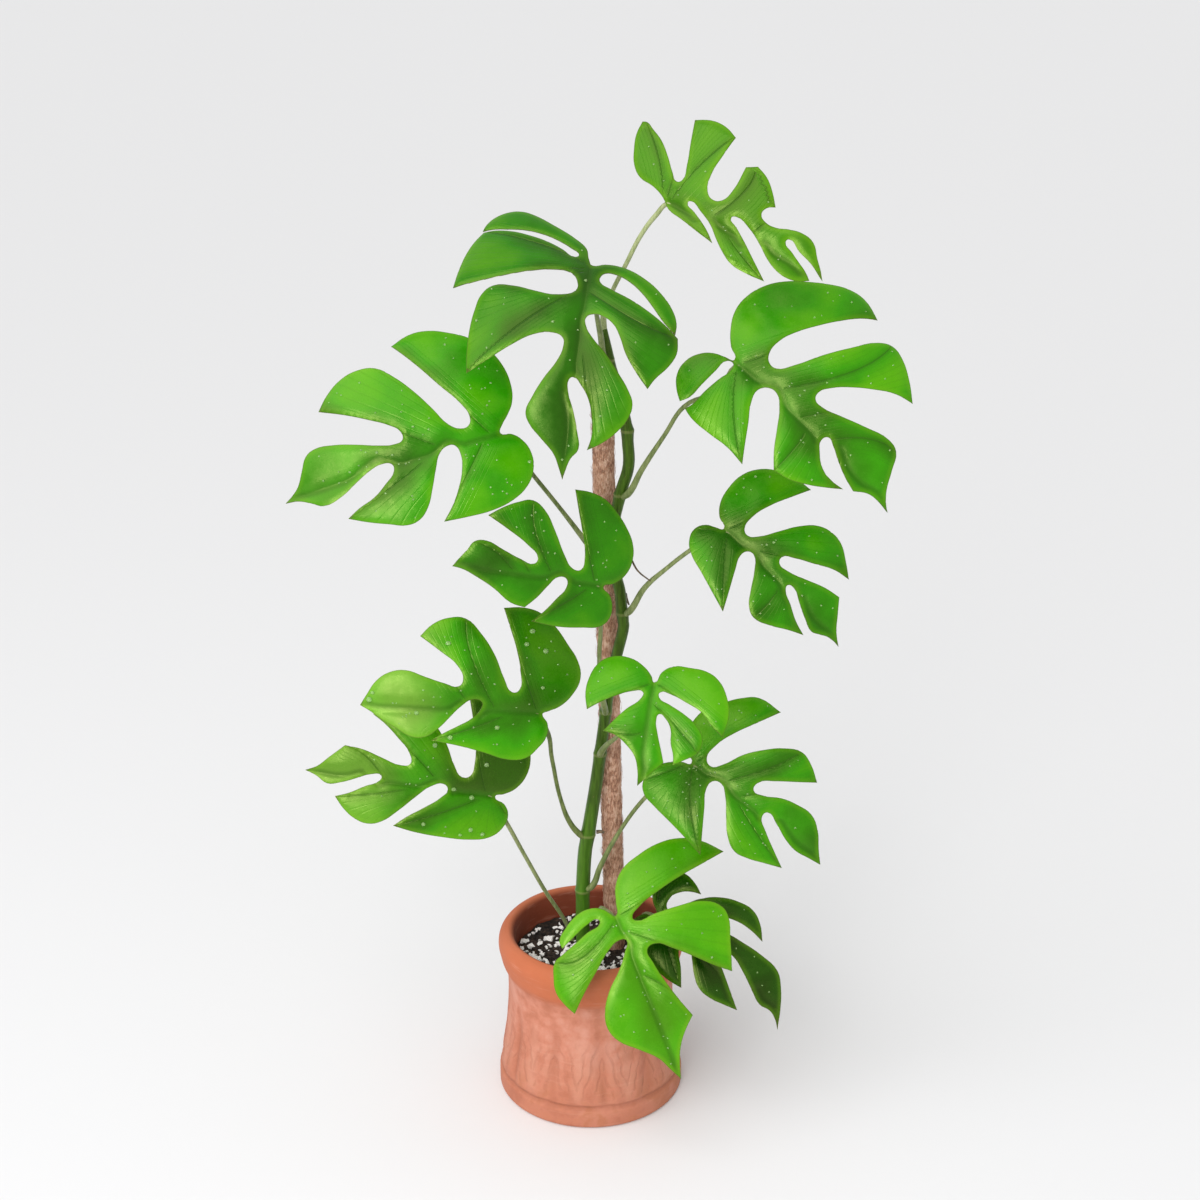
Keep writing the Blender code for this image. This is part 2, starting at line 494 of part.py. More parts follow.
def build_blade(name, leaf):
    shape = bmesh.new()
    corners = [shape.verts.new((u, v, 0)) for u, v in leaf["outline"]]
    shape.faces.new(corners)
    steps = range(-6, 12)
    grid_cut(shape, (0, 1, 0), [GRID_STEP * step for step in steps])
    grid_cut(shape, (1, 0, 0), [GRID_STEP * step + 2 for step in steps])
    bmesh.ops.dissolve_degenerate(shape, dist=0.2, edges=shape.edges[:])
    bmesh.ops.triangulate(shape, faces=shape.faces[:], quad_method="BEAUTY", ngon_method="BEAUTY")
    bmesh.ops.recalc_face_normals(shape, faces=shape.faces[:])
    if sum(face.normal.z for face in shape.faces) < 0:
        bmesh.ops.reverse_faces(shape, faces=shape.faces[:])
    for vert in shape.verts:
        vert.co = blade_point(leaf, vert.co.x, vert.co.y) * MM
    mesh = bpy.data.meshes.new(name)
    shape.to_mesh(mesh)
    shape.free()
    blade = link(name, mesh)
    solidify = blade.modifiers.new("Thickness", "SOLIDIFY")
    solidify.thickness = BLADE_THICKNESS * MM
    solidify.offset = -1
    solidify.use_even_offset = True
    paint(blade, LEAF_COLOUR, 0.35)


def build_petiole(name, petiole):
    leaf = LEAVES[petiole["leaf"]]
    along, across, out = blade_frame(leaf)
    below = BLADE_THICKNESS + FIT_GAP + PETIOLE_RADIUS
    seat = blade_point(leaf, 5, 0) - out * (below + 0.2)
    enter = blade_point(leaf, *petiole["enter"]) - out * (below + 2.5)
    points = [Vector(point) for point in petiole["points"]] + [enter, seat]
    radii = [PETIOLE_RADIUS] * len(points)
    radii[0] = SHEATH_RADIUS
    radii[1] = (SHEATH_RADIUS + PETIOLE_RADIUS) / 2
    stalk = tube_curve(name, points, radii, 8, 3)
    paint(stalk, PETIOLE_COLOUR, 0.5)


def build_root(name, root):
    count = len(root["points"])
    thick, thin = root["radii"]
    radii = [thick + (thin - thick) * step / (count - 1) for step in range(count)]
    strand = tube_curve(name, root["points"], radii, 8, 2)
    paint(strand, ROOT_COLOUR, 0.8)


clear_scene()
build_pot()
build_soil()
build_pole()
build_stem()
for blade_name, blade in LEAVES.items():
    build_blade(blade_name, blade)
for stalk_name, stalk_data in PETIOLES.items():
    build_petiole(stalk_name, stalk_data)
for root_name, root_data in ROOTS.items():
    build_root(root_name, root_data)
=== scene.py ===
import math
import random

import bmesh
import bpy
import numpy as np
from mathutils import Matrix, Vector, noise


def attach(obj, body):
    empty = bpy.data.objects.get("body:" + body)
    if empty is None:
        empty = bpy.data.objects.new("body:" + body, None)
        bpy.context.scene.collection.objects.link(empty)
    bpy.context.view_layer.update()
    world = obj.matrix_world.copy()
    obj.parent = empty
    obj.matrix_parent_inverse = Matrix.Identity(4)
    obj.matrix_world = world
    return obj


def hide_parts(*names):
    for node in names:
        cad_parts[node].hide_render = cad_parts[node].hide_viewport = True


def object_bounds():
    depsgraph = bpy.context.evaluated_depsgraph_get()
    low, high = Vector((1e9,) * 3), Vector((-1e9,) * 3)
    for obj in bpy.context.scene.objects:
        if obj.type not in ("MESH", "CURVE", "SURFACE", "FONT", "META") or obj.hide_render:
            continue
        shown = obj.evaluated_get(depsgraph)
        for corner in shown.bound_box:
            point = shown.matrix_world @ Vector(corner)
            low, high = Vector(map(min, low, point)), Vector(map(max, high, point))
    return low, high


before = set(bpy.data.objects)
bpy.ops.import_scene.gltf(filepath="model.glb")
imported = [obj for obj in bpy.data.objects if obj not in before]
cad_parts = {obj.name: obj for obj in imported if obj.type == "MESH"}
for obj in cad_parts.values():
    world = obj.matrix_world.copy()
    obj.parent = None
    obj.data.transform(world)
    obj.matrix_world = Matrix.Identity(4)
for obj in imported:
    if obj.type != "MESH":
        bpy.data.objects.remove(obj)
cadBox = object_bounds()
mm = 0.001
print("frame loaded")


# shader kit

class Wire:  # one socket, so that sums on it read as sums
    def __init__(self, finish, socket):
        self.finish = finish
        self.socket = socket

    def maths(self, operation, *others):
        return self.finish.node("Math", {"operation": operation}, dict(enumerate((self,) + others)))

    def __add__(self, other):
        return self.maths("ADD", other)

    def __sub__(self, other):
        return self.maths("SUBTRACT", other)

    def __rsub__(self, other):
        return self.finish.node("Math", {"operation": "SUBTRACT"}, {0: other, 1: self})

    def __mul__(self, other):
        return self.maths("MULTIPLY", other)

    __radd__ = __add__
    __rmul__ = __mul__


class Finish:  # a material and its Principled shader
    def __init__(self, name, **fixed):
        self.material = bpy.data.materials.new(name)
        self.material.use_nodes = True
        self.tree = self.material.node_tree
        self.shader = self.tree.nodes["Principled BSDF"]
        for socket, value in fixed.items():
            self.shader.inputs[socket.replace("_", " ")].default_value = value

    def node(self, kind, settings, sockets, out=0):
        made = self.tree.nodes.new("ShaderNode" + kind)
        for key, value in settings.items():
            if key == "stops":
                self.fillRamp(made.color_ramp, value)
            else:
                setattr(made, key, value)
        for key, value in sockets.items():
            if isinstance(value, Wire):
                self.tree.links.new(value.socket, made.inputs[key])
            else:
                made.inputs[key].default_value = value
        return Wire(self, made.outputs[out])

    def fillRamp(self, ramp, stops):
        while len(ramp.elements) < len(stops):
            ramp.elements.new(0.5)
        for element, (place, colour) in zip(ramp.elements, stops):
            element.position = place
            element.color = (*colour, 1)

    def ramp(self, share, *stops):
        return self.node("ValToRGB", {"stops": stops}, {0: share})

    def place(self):
        return self.node("TexCoord", {}, {}, "Object")

    def noise(self, scale, detail=3, roughness=0.55, at=None):
        sockets = {"Vector": at or self.place(), "Scale": scale, "Detail": detail, "Roughness": roughness}
        return self.node("TexNoise", {}, sockets)

    def streaks(self, scale, detail=3, roughness=0.6, turn=(0, 0, 0)):
        # noise drawn out along the axis that has the smallest scale
        place = self.node("Mapping", {}, {"Vector": self.place(), "Scale": scale, "Rotation": turn})
        return self.noise(1, detail, roughness, place)

    def ease(self, value, low, high, first=0.0, last=1.0):
        ends = {"Value": value, 1: low, 2: high, 3: first, 4: last}
        return self.node("MapRange", {"interpolation_type": "SMOOTHSTEP"}, ends)

    def blend(self, share, one, other):
        ends = {}
        for key, colour in ((6, one), (7, other)):
            ends[key] = colour if isinstance(colour, Wire) else (*colour, 1)
        return self.node("Mix", {"data_type": "RGBA"}, {0: share, **ends}, 2)

    def split(self, vector):
        return [self.node("SeparateXYZ", {}, {0: vector}, axis) for axis in range(3)]

    def put(self, socket, value):
        self.tree.links.new(value.socket, self.shader.inputs[socket])

    def bump(self, height, strength, distance):
        sockets = {"Height": height, "Strength": strength, "Distance": distance}
        self.put("Normal", self.node("Bump", {}, sockets))

    def grain(self, pattern, dark, pale, strength, distance):
        # two colours, the pale one on what stands up
        self.put("Base Color", self.blend(self.ease(pattern, 0.35, 0.65), dark, pale))
        self.bump(pattern, strength, distance)
        return self


# mesh kit

def addObject(name, data):
    made = bpy.data.objects.new(name, data)
    bpy.context.scene.collection.objects.link(made)
    return made


def finalMesh(holder):
    return bpy.data.meshes.new_from_object(holder.evaluated_get(bpy.context.evaluated_depsgraph_get()))


def pieceFrom(name, shape, *finishes):
    mesh = bpy.data.meshes.new(name)
    shape.to_mesh(mesh)
    shape.free()
    mesh.shade_smooth()
    for finish in finishes:
        mesh.materials.append(finish.material)
    return addObject(name, mesh)


def enrol(piece, slotName, *replaced):
    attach(piece, "root")
    if replaced:
        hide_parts(*replaced)


def newCurve(dimensions, steps):
    data = bpy.data.curves.new("curve", "CURVE")
    data.dimensions = dimensions
    data.resolution_u = steps
    return data


def addSpline(data, points, radii=None, sharp=(), closed=False):
    # smooth through its points, apart from the sharp ones, which are given by number
    spline = data.splines.new("BEZIER")
    spline.bezier_points.add(len(points) - 1)
    spline.use_cyclic_u = closed
    for number, knot in enumerate(spline.bezier_points):
        knot.co = points[number]
        knot.radius = radii[number] if radii else 1
        knot.handle_left_type = knot.handle_right_type = "VECTOR" if number in sharp else "AUTO"


def tubeShape(runs, sides, steps):
    # round tubes through (point, radius) pairs in mm, as one bmesh in metres
    data = newCurve("3D", steps)
    data.bevel_depth = mm
    data.bevel_resolution = sides // 4 - 1
    data.use_fill_caps = True
    for run in runs:
        addSpline(data, [Vector(point) * mm for point, radius in run], [radius for point, radius in run])
    return shapeOfCurve(data)


def shapeOfCurve(data):
    holder = addObject("holder", data)
    bpy.context.view_layer.update()
    mesh = finalMesh(holder)
    shape = bmesh.new()
    shape.from_mesh(mesh)
    bpy.data.objects.remove(holder)
    bpy.data.curves.remove(data)
    bpy.data.meshes.remove(mesh)
    bmesh.ops.remove_doubles(shape, verts=shape.verts, dist=0.01 * mm)
    return shape


def spinRound(shape, steps):
    # a full turn about the upright axis, with seam and poles closed and the faces outwards
    profile = shape.verts[:] + shape.edges[:]
    turn = {"axis": (0, 0, 1), "cent": (0, 0, 0), "angle": math.tau, "steps": steps, "use_merge": True}
    bmesh.ops.spin(shape, geom=profile, **turn)
    bmesh.ops.remove_doubles(shape, verts=shape.verts, dist=0.02 * mm)
    bmesh.ops.recalc_face_normals(shape, faces=shape.faces)


def ease(value, low, high):
    share = min(max((value - low) / (high - low), 0), 1)
    return share * share * (3 - 2 * share)


# leaves: the same blades as the solids, as (along, across) outlines in mm on a drooping sheet

leafShapes = {
    "leaf_01": {
        "base": (49, -20, 714), "heading": 58, "down": 16, "roll": 58, "length": 123, "droop": 25,
        "outline": [
            (0, 2), (-10, 6), (-22, 8), (-30, 14), (-36, 24), (-40, 34), (-41, 44), (-38, 45), (-31, 42),
            (-21, 37), (-10, 28), (-2, 20), (4, 15.5), (7, 18), (5, 28), (-1, 43), (-8, 60), (2, 64.5),
            (14, 64.5), (25, 60), (24, 45), (23.5, 30), (27, 18), (33, 14.5), (39, 17), (42, 25), (42, 44),
            (49, 48), (58, 44), (66, 37), (73, 28.5), (68, 25), (67, 20), (72, 16.5), (80, 16.5), (88, 19.5),
            (97, 21.3), (106, 19.5), (114, 11), (120, 5), (124, 0), (119, 2.6), (111, 6.5), (101, 9.5),
            (91, 13.5), (90, 11), (97, 7), (105, 3), (111, 0), (116, -4), (110, -8), (102, -10), (94, -9),
            (85, -5), (75, 2), (64, 8), (53, 11), (50, 9), (56, 5), (65, -1), (76, -9), (90, -19), (77, -20),
            (65, -19), (57, -15), (48, -8.5), (39, -1), (29, 4), (20, 7.5), (18, 6), (25, 2), (33, -2),
            (41, -7), (47, -12), (36, -10), (20, -6.5), (8, -4),
        ],
    },
    "leaf_02": {
        "base": (1, -60, 678), "heading": -7, "down": 30, "roll": -7, "length": 151, "droop": 60,
        "outline": [
            (0, 2), (-1.5, 10), (0, 22), (8, 38), (17, 49), (28, 58), (38, 62), (47, 62), (40, 54),
            (30, 45.5), (20, 36.5), (12, 27), (7.5, 18), (7, 11), (11, 8), (15, 8.5), (20, 16), (26, 29),
            (33, 42), (40, 53), (49, 64), (60, 64.5), (70, 60), (80, 52), (87, 48), (77, 39), (66, 31),
            (55, 26), (47, 21), (42, 14), (40.5, 7), (43, 2.5), (49, 3), (58, 9), (67, 18), (78, 27),
            (90, 36), (98, 39.5), (107, 38), (117, 31.5), (125, 23), (131, 13.5), (121, 15.5), (109, 14),
            (98, 10.5), (90, 5), (85, -1), (87, -3.5), (95, -3), (106, 1.5), (120, 6), (131, 8), (138, 3.5),
            (146, 1), (153, -0.5), (144, -4), (136, -8), (127, -17), (118, -26), (111, -29), (101, -26),
            (88, -20), (76, -13), (66, -10), (60, -11), (57.5, -17), (60, -30), (68, -43), (78, -56),
            (90, -71.5), (76, -73), (60, -73.5), (44, -72), (32, -69), (25, -62), (25, -48), (28, -34),
            (29, -18), (24, -7), (16, -7), (10, -12), (9, -22), (12, -38), (16, -55), (20, -72), (24, -90.5),
            (7, -88.5), (-9, -85.5), (-20, -81), (-27.5, -76), (-28.3, -68), (-26.5, -57), (-23, -46),
            (-18, -33), (-11, -20), (-5.5, -11), (-8, -8.5), (-13, -14), (-19, -24), (-24.2, -36),
            (-26.8, -46), (-28.3, -57), (-29.7, -68), (-28.8, -77), (-35, -75), (-42, -69), (-46, -60),
            (-46, -52), (-42, -42), (-33, -28), (-22, -11), (-15, -4), (-6, -1.5),
        ],
    },
    "leaf_03": {
        "base": (-60, -50, 559), "heading": -71, "down": 10, "roll": -62, "length": 155, "droop": 25,
        "outline": [
            (1, -0.5), (-6, 2), (-12, 8), (-15.5, 19), (-13, 31), (-6, 40), (6, 46.5), (22, 49.5), (40, 49),
            (56.5, 47.5), (48, 39), (40, 28), (34, 16), (32, 6), (34, -1), (39, -2), (45, 1), (51, 11),
            (57, 23), (64, 35), (72, 41.5), (81, 42.5), (93, 38), (106, 32.5), (118.5, 26), (109, 21.5),
            (97, 17.5), (87, 11), (79, 4), (79, -1), (86, -3), (95, -1), (106, 4), (118, 10), (132, 12.5),
            (140, 8), (149, 3.5), (158, 2), (151, -2), (146, -6), (140, -15), (134, -24), (127, -27),
            (113, -25.5), (98, -21), (84, -16), (73, -13.5), (67, -15), (67, -21), (73, -27), (84, -34),
            (100, -43), (117, -51), (108, -61), (96, -69), (83, -72), (71, -69.5), (60, -59), (50, -45),
            (41, -29), (34, -16), (27, -11), (21, -11.5), (18.5, -17), (22, -28), (32, -44), (43, -63),
            (55.5, -82), (42, -87), (28, -86.5), (13, -80), (0, -71), (-9, -60), (-14.5, -47), (-16, -32),
            (-13, -19), (-7, -11), (-2, -6),
        ],
    },
    "leaf_04": {
        "base": (99, -40, 608), "heading": 55, "down": 31, "roll": 48, "length": 150, "droop": 30,
        "outline": [
            (0, 1), (-8, 6), (-17, 15), (-24, 27), (-25.5, 40), (-22, 55), (-15, 67), (-5, 78), (8, 89.5),
            (20, 97), (33, 99.5), (51, 94), (42, 85), (33, 72), (25, 58), (18, 44), (14, 31), (15, 20),
            (20, 15), (26, 15.5), (33, 25), (42, 44), (52, 62), (63, 80), (72, 86), (84, 84), (96, 77),
            (110, 65), (97, 61), (84, 52), (72, 42), (62, 31), (58, 23), (60, 18), (67, 17.5), (80, 22),
            (97, 28.5), (115, 34), (124, 32), (131, 21), (138, 9), (144, 3), (150, -1), (140, -0.5),
            (131, -2), (122, -8.5), (112, -6), (100, -1), (90, 4), (84, 5.5), (82, 1), (87, -6), (96, -12.5),
            (106, -14), (116, -12.5), (107, -20), (96, -28), (84, -34.5), (73, -37), (64, -27.5), (55, -15),
            (46, -3), (38, 3), (31, 2), (27, -4), (30, -14), (38, -25), (47, -38), (55, -49), (40, -47.5),
            (24, -49), (8, -49.5), (-1, -47.5), (1, -42), (1.2, -30), (2.2, -17), (3.6, -6), (1, -1.5),
            (-3, -3), (-3.6, -14), (-3.6, -28), (-3.6, -39), (-7, -46), (-15, -41), (-22, -33), (-24, -23),
            (-21, -13), (-14, -5.5), (-6, -2),
        ],
    },
    "leaf_05": {
        "base": (11, -70, 453), "heading": -69, "down": -15, "roll": -73, "length": 109, "droop": 20,
        "outline": [
            (1, 0), (-4, 5), (-7, 13), (-5.5, 22), (1, 28), (13, 30), (32, 31.5), (51, 30), (43, 22),
            (35, 12), (29, 4), (29, -2), (35, -3), (42, 4), (49, 13), (57, 21), (67, 19), (80, 10.5), (93, 4),
            (103, 0), (110, -1), (106, -7), (101, -14), (97, -20), (89, -21.5), (77, -17), (64, -12),
            (54, -10), (52, -14), (60, -22), (74, -30.5), (90, -39), (80, -46), (70, -51), (60, -53.5),
            (51, -48), (42, -34), (33, -18), (26, -10), (20, -10), (18.5, -18), (22, -34), (26, -49),
            (30, -65.5), (18, -65), (6, -61), (-3, -53), (-11, -43), (-16.5, -33), (-18, -22), (-14, -10),
            (-6, -3),
        ],
    },
    "leaf_06": {
        "base": (95, -30, 483), "heading": 56, "down": 32, "roll": 44, "length": 123, "droop": 30,
        "outline": [
            (1, 0), (-7, 4), (-14, 12), (-17.5, 24), (-17.5, 38), (-13, 49), (-4, 58), (8, 64), (25, 66),
            (19, 51), (13, 35), (10, 20), (12, 10), (17, 8), (23, 13), (30, 25), (38, 39), (48, 50),
            (58, 53.5), (68, 52.5), (79, 46), (90, 38), (78, 35), (64, 27), (52, 20), (45, 14), (47, 9.5),
            (55, 10), (68, 15), (82, 21), (94, 24), (102, 15), (111, 5.5), (120, 0), (110, -1), (103, -5),
            (97, -8), (88, -5), (77, 0), (67, 4.5), (62, 3), (64, -1), (73, -5.5), (84, -11), (95, -14),
            (84, -20), (73, -27), (61, -31.5), (53, -28), (46, -19), (38, -7), (30, 1), (25, 0), (23.5, -6),
            (28, -16), (35, -29), (43, -44), (28, -39.5), (12, -34.5), (-2, -30), (-10, -24), (-13.5, -15),
            (-10, -7), (-4, -3.5),
        ],
    },
    "leaf_07": {
        "base": (-33, -60, 351), "heading": -67, "down": -10, "roll": -70, "length": 130, "droop": 30,
        "outline": [
            (1, 0.5), (-2.5, 7), (-1.5, 17), (5, 25), (14, 32), (28, 33), (45, 28), (64, 23), (83, 19.5),
            (74, 14), (64, 9), (54, 3.5), (48, -3), (47, -8), (54, -10), (62, -5), (70, 3), (78, 11),
            (87, 17), (97, 17), (108, 11), (119, 4.5), (127, -1), (134, -5), (129, -13), (123, -22),
            (114, -28.5), (102, -30.5), (88, -26), (74, -21.5), (64, -19.5), (61, -24), (65, -34), (77, -44),
            (92, -55), (83, -64), (71, -69), (59, -68.5), (48, -58), (38, -42), (31, -25), (25, -15.5),
            (20, -17), (19, -30), (22, -47), (26, -62), (30, -77), (14, -77.5), (0, -73), (-10, -63),
            (-18, -51), (-26, -38), (-28, -26), (-22, -14), (-12, -5), (-3, -1.5),
        ],
    },
    "leaf_08": {
        "base": (-71, -20, 263), "heading": -76, "down": -14, "roll": -72, "length": 146, "droop": 20,
        "outline": [
            (1, 0), (-7, 5), (-11, 13), (-8, 23), (1, 31), (16, 34.5), (36, 35), (56, 34), (75, 31), (66, 23),
            (54, 14.5), (42, 5), (38, -1), (42, -5), (51, -2), (61, 7), (73, 19.5), (84, 29), (94, 32),
            (104, 29.5), (113, 23.5), (121, 15), (111, 11), (100, 4.5), (90, -1), (89, -5), (97, -5),
            (108, 0), (119, 4.5), (128, 6.5), (137, 2), (146, -1), (138, -5), (130, -13), (119, -24),
            (106, -23), (90, -18.5), (76, -15), (69, -17), (71, -25), (81, -35), (92, -44), (102, -50),
            (90, -57), (76, -60), (63, -56), (53, -47), (44, -35), (36, -20), (29, -12), (23, -13.5),
            (21, -24), (23, -42), (27, -58), (31, -73), (16, -73), (2, -68), (-9, -59), (-17, -48),
            (-21.5, -35), (-21, -20), (-14, -8), (-5, -2.5),
        ],
    },
    "leaf_09": {
        "base": (45, -90, 390), "heading": 14, "down": 39, "roll": 12, "length": 65, "droop": 26,
        "outline": [
            (1, 0.5), (-5, 7), (-7.5, 16), (-4, 27), (1, 38), (9, 45), (22, 48), (36, 46.5), (50, 39),
            (40, 32.5), (30, 28), (21, 19), (13, 10), (9.5, 3), (13, 1.5), (20, 7.5), (29, 16), (38, 22.5),
            (48, 25), (57, 20), (60, 10), (62, 1), (55, 2.5), (47, 2.5), (37, 4.5), (29, 2.5), (25, -1),
            (29, -4), (38, -5), (49, -5), (59, -5), (64, -14), (71, -26), (61, -24), (51, -24), (42, -28),
            (34, -34), (29, -42), (23, -33), (17, -23), (11, -11), (7, -9), (5, -16), (6, -28), (8, -39),
            (11, -50), (-2, -48.5), (-12, -44), (-21, -36), (-24.5, -26), (-21, -13), (-12, -4), (-4, -0.5),
        ],
    },
    "leaf_10": {
        "base": (75, -30, 297), "heading": 59, "down": 26, "roll": 49, "length": 126, "droop": 30,
        "outline": [
            (1, 0), (-8, 5), (-15, 15), (-17.5, 28), (-15, 41), (-8, 52), (0, 63), (10, 71.5), (30, 73),
            (21, 54), (13, 38), (7.5, 21), (8, 10), (14, 7), (20, 13), (28, 29), (37, 40.5), (49, 52),
            (61, 58), (72, 55), (84, 47), (72, 38), (60, 29), (49, 18.5), (50, 12.5), (58, 14), (70, 21),
            (82, 24.5), (95, 25.5), (106, 19.5), (116, 9), (125, 1), (114, -1), (102, -3), (91, -1),
            (79, 3.5), (68, 6), (67, 1), (76, -6), (88, -12.5), (102, -19.5), (89, -25), (77, -30), (66, -32),
            (55, -26), (46, -16), (36, -4), (28, 1.5), (22, -1), (22, -9), (29, -20), (38, -34), (48.5, -50),
            (32, -47), (14, -44.5), (-2, -42.5), (-13, -40), (-19.5, -32), (-19, -20), (-13, -10), (-5, -3.5),
        ],
    },
    "leaf_11": {
        "base": (19, -70, 189), "heading": 31, "down": 45, "roll": 27, "length": 131, "droop": 30,
        "outline": [
            (0, 0), (-9, 4), (-20, 8), (-30, 17), (-36, 33), (-39, 50), (-37.5, 67), (-31, 82), (-17, 97),
            (-13.5, 78), (-10.5, 60), (-5, 36), (1, 18), (6, 11.5), (9, 13), (9.5, 28), (10.5, 46), (13, 64),
            (21, 77), (30, 80), (50, 74), (71, 66.5), (61, 55), (50, 44), (38, 31), (30, 20), (32, 13),
            (42, 13.5), (57, 16.5), (73, 21), (89, 26.5), (97, 18), (108, 9.5), (120, 4.5), (132, 1),
            (121, -4), (110, -9), (98, -20), (86, -32), (75, -36), (64, -34), (50, -25), (38, -12), (27, -3),
            (20, 1), (18, -4), (22, -14), (32, -27), (44, -42), (56, -55), (46, -60), (36, -62.5), (25, -60),
            (15, -55), (12, -47), (8, -35), (4, -24), (1, -13), (-2, -13), (-1.5, -22), (3, -34), (8, -46),
            (2, -46), (-5, -38.5), (-11, -27), (-12, -16), (-8, -7), (-3, -3),
        ],
    },
    "leaf_12": {
        "base": (50, -40, 172), "heading": 57, "down": 28, "roll": 43, "length": 130, "droop": 30,
        "outline": [
            (0, 0), (-8.5, 6.5), (-16, 15), (-19, 26.5), (-13, 35), (-4, 39), (6.5, 38.5), (16, 35),
            (8.5, 31), (3, 25.5), (0, 17), (4, 9.5), (8.5, 11.5), (12, 21.5), (19, 34), (30, 44.5),
            (41.5, 50.5), (53, 53), (64, 49), (74.5, 39.5), (62, 40), (50, 38), (39.5, 33), (31, 25.5),
            (29, 19), (36, 18.5), (49, 25.5), (64, 29), (81, 31.5), (98, 31), (108.5, 23.5), (119.5, 11.5),
            (129, -1), (122.5, 3), (114, 5), (104.5, 3), (92.5, 7), (78, 12.5), (63, 16), (54.5, 13),
            (56.5, 7.5), (66, 3), (79, -4), (94, -12), (83, -16), (71.5, -19.5), (61, -19.5), (51, -14),
            (42.5, -6.5), (34, 0), (28.5, -2), (31, -8.5), (40.5, -17), (51, -28.5), (36, -31), (19, -30.5),
            (4, -28), (-5.5, -22.5), (-10.5, -14), (-7.5, -5.5),
        ],
    },
}

leafLook = {
    "grid": 2.4,
    "midribCuts": [-1.4, 0, 1.4],
    "fold": 8,
    "curl": 28,
    "curlReach": 80,
    "thickest": 2.2,
    "thinShare": 0.27,
    "pillow": 1.05,
    "midribRound": 1.7,
    "midribSink": 0.35,
    "wave": 0.5,
    "waveLength": 22,
    "settle": 0.12,
    "tipTurn": 48,  # a sharper turn than this is the tip of a lobe, in degrees
    "veinTurn": 40,  # and one sharper than this has a main vein of its own
    "veinApart": 16,
    "veinRoom": 24.0,
    "specular": (0.82, 1, 0.3, 1),
    "upper": ((0.008, 0.080, 0.0003), (0.021, 0.246, 0.0003), (0.092, 0.365, 0.0010)),
    "under": ((0.055, 0.145, 0.022), (0.085, 0.20, 0.032), (0.14, 0.27, 0.06)),
    "underRib": (0.16, 0.30, 0.07),
    "yellow": (0.11, 0.40, 0.002),
    # painted sheen: the outer lobes blend to a paler green that stands in for reflected light
    "paintedSheenTip": (0.21, 0.42, 0.045),
    # painted shadow: the base half on one side is darkened, as in the shade of the leaf above
    "paintedShadowBase": (0.016, 0.062, 0.0015),
    "paleEdge": (0.16, 0.38, 0.008),
    "margin": (0.06, 0.035, 0.015),
    # painted brightness of the water drops
    "dew": (0.62, 0.92, 0.36, 1),
}
# shares of each blade's tones, and its drops of water as least radius, greatest radius and count
leafDress = {
    "leaf_01": {"dark": 0.6, "yellow": 0.25, "dew": [(0.5, 0.8, 14)]},
    "leaf_02": {"dark": 0.42, "dew": [(0.5, 0.85, 22), (0.9, 1.2, 3)]},
    "leaf_03": {"light": 0.1, "paintedSheenTip": 0.1, "dew": [(0.5, 0.85, 60), (0.9, 1.4, 6)]},
    "leaf_04": {"light": 0.05, "dark": 0.05, "yellow": 0.05, "dew": [(0.5, 0.85, 46)]},
    "leaf_05": {"dark": 0.32, "dew": [(0.5, 0.85, 26)]},
    "leaf_06": {"dark": 0.12, "dew": [(0.5, 0.85, 32), (0.9, 1.3, 3)]},
    "leaf_07": {
        "light": 0.2, "yellow": 0.05, "paintedSheenTip": 0.5, "paintedShadowBase": 0.5,
        "dew": [(0.5, 0.85, 42), (1.5, 2.3, 10)],
    },
    "leaf_08": {
        "light": 0.1, "dark": 0.2, "yellow": 0.1, "paintedSheenTip": 0.42, "paintedShadowBase": 0.85,
        "dew": [(0.5, 0.85, 18), (1.4, 2.1, 9)],
    },
    "leaf_09": {"yellow": 0.05, "dew": [(0.5, 0.8, 26)]},
    "leaf_10": {"dark": 0.1, "yellow": 0.05, "dew": [(0.5, 0.85, 52)]},
    "leaf_11": {"light": 0.05, "yellow": 0.35, "dew": [(0.5, 0.85, 40), (0.9, 1.2, 3)]},
    # painted shade: leaf_12's high dark share darkens the whole blade as if it stood in shade behind the others
    "leaf_12": {"dark": 0.95, "dew": [(0.5, 0.8, 20)]},
}


def bladeFrame(shape):
    heading, down, roll = (math.radians(shape[key]) for key in ("heading", "down", "roll"))
    along = Vector((math.sin(heading) * math.cos(down), -math.cos(heading) * math.cos(down), -math.sin(down)))
    level = Vector((0, 0, 1)).cross(along).normalized()
    out = along.cross(level)
    across = level * math.cos(roll) + out * math.sin(roll)
    return along, across, along.cross(across)


def bladePoint(shape, u, v, lift=0.0):
    # droops from the base to the tip and curls down towards both edges
    along, across, out = bladeFrame(shape)
    bend = math.radians(shape["droop"]) / shape["length"]
    curl = math.radians(leafLook["curl"]) / leafLook["curlReach"]
    fold = math.radians(leafLook["fold"])
    turn = bend * max(u, 0)
    reach = abs(v)
    side = (math.sin(fold) - math.sin(fold - curl * reach)) / curl * (1 if v > 0 else -1)
    rise = (math.cos(fold - curl * reach) - math.cos(fold)) / curl
    here = Vector(shape["base"]) + along * (math.sin(turn) / bend + min(u, 0))
    here -= out * ((1 - math.cos(turn)) / bend)
    normal = along * math.sin(turn) + out * math.cos(turn)
    lean = math.copysign(math.sin(curl * reach - fold), v)
    up = normal * math.cos(curl * reach - fold) + across * lean
    return here + across * side + normal * rise + up * lift


def turnAt(before, here, after):
    # how far the outline turns to the right at a point, in degrees
    first = math.atan2(here[1] - before[1], here[0] - before[0])
    second = math.atan2(after[1] - here[1], after[0] - here[0])
    return -math.degrees(math.remainder(second - first, math.tau))


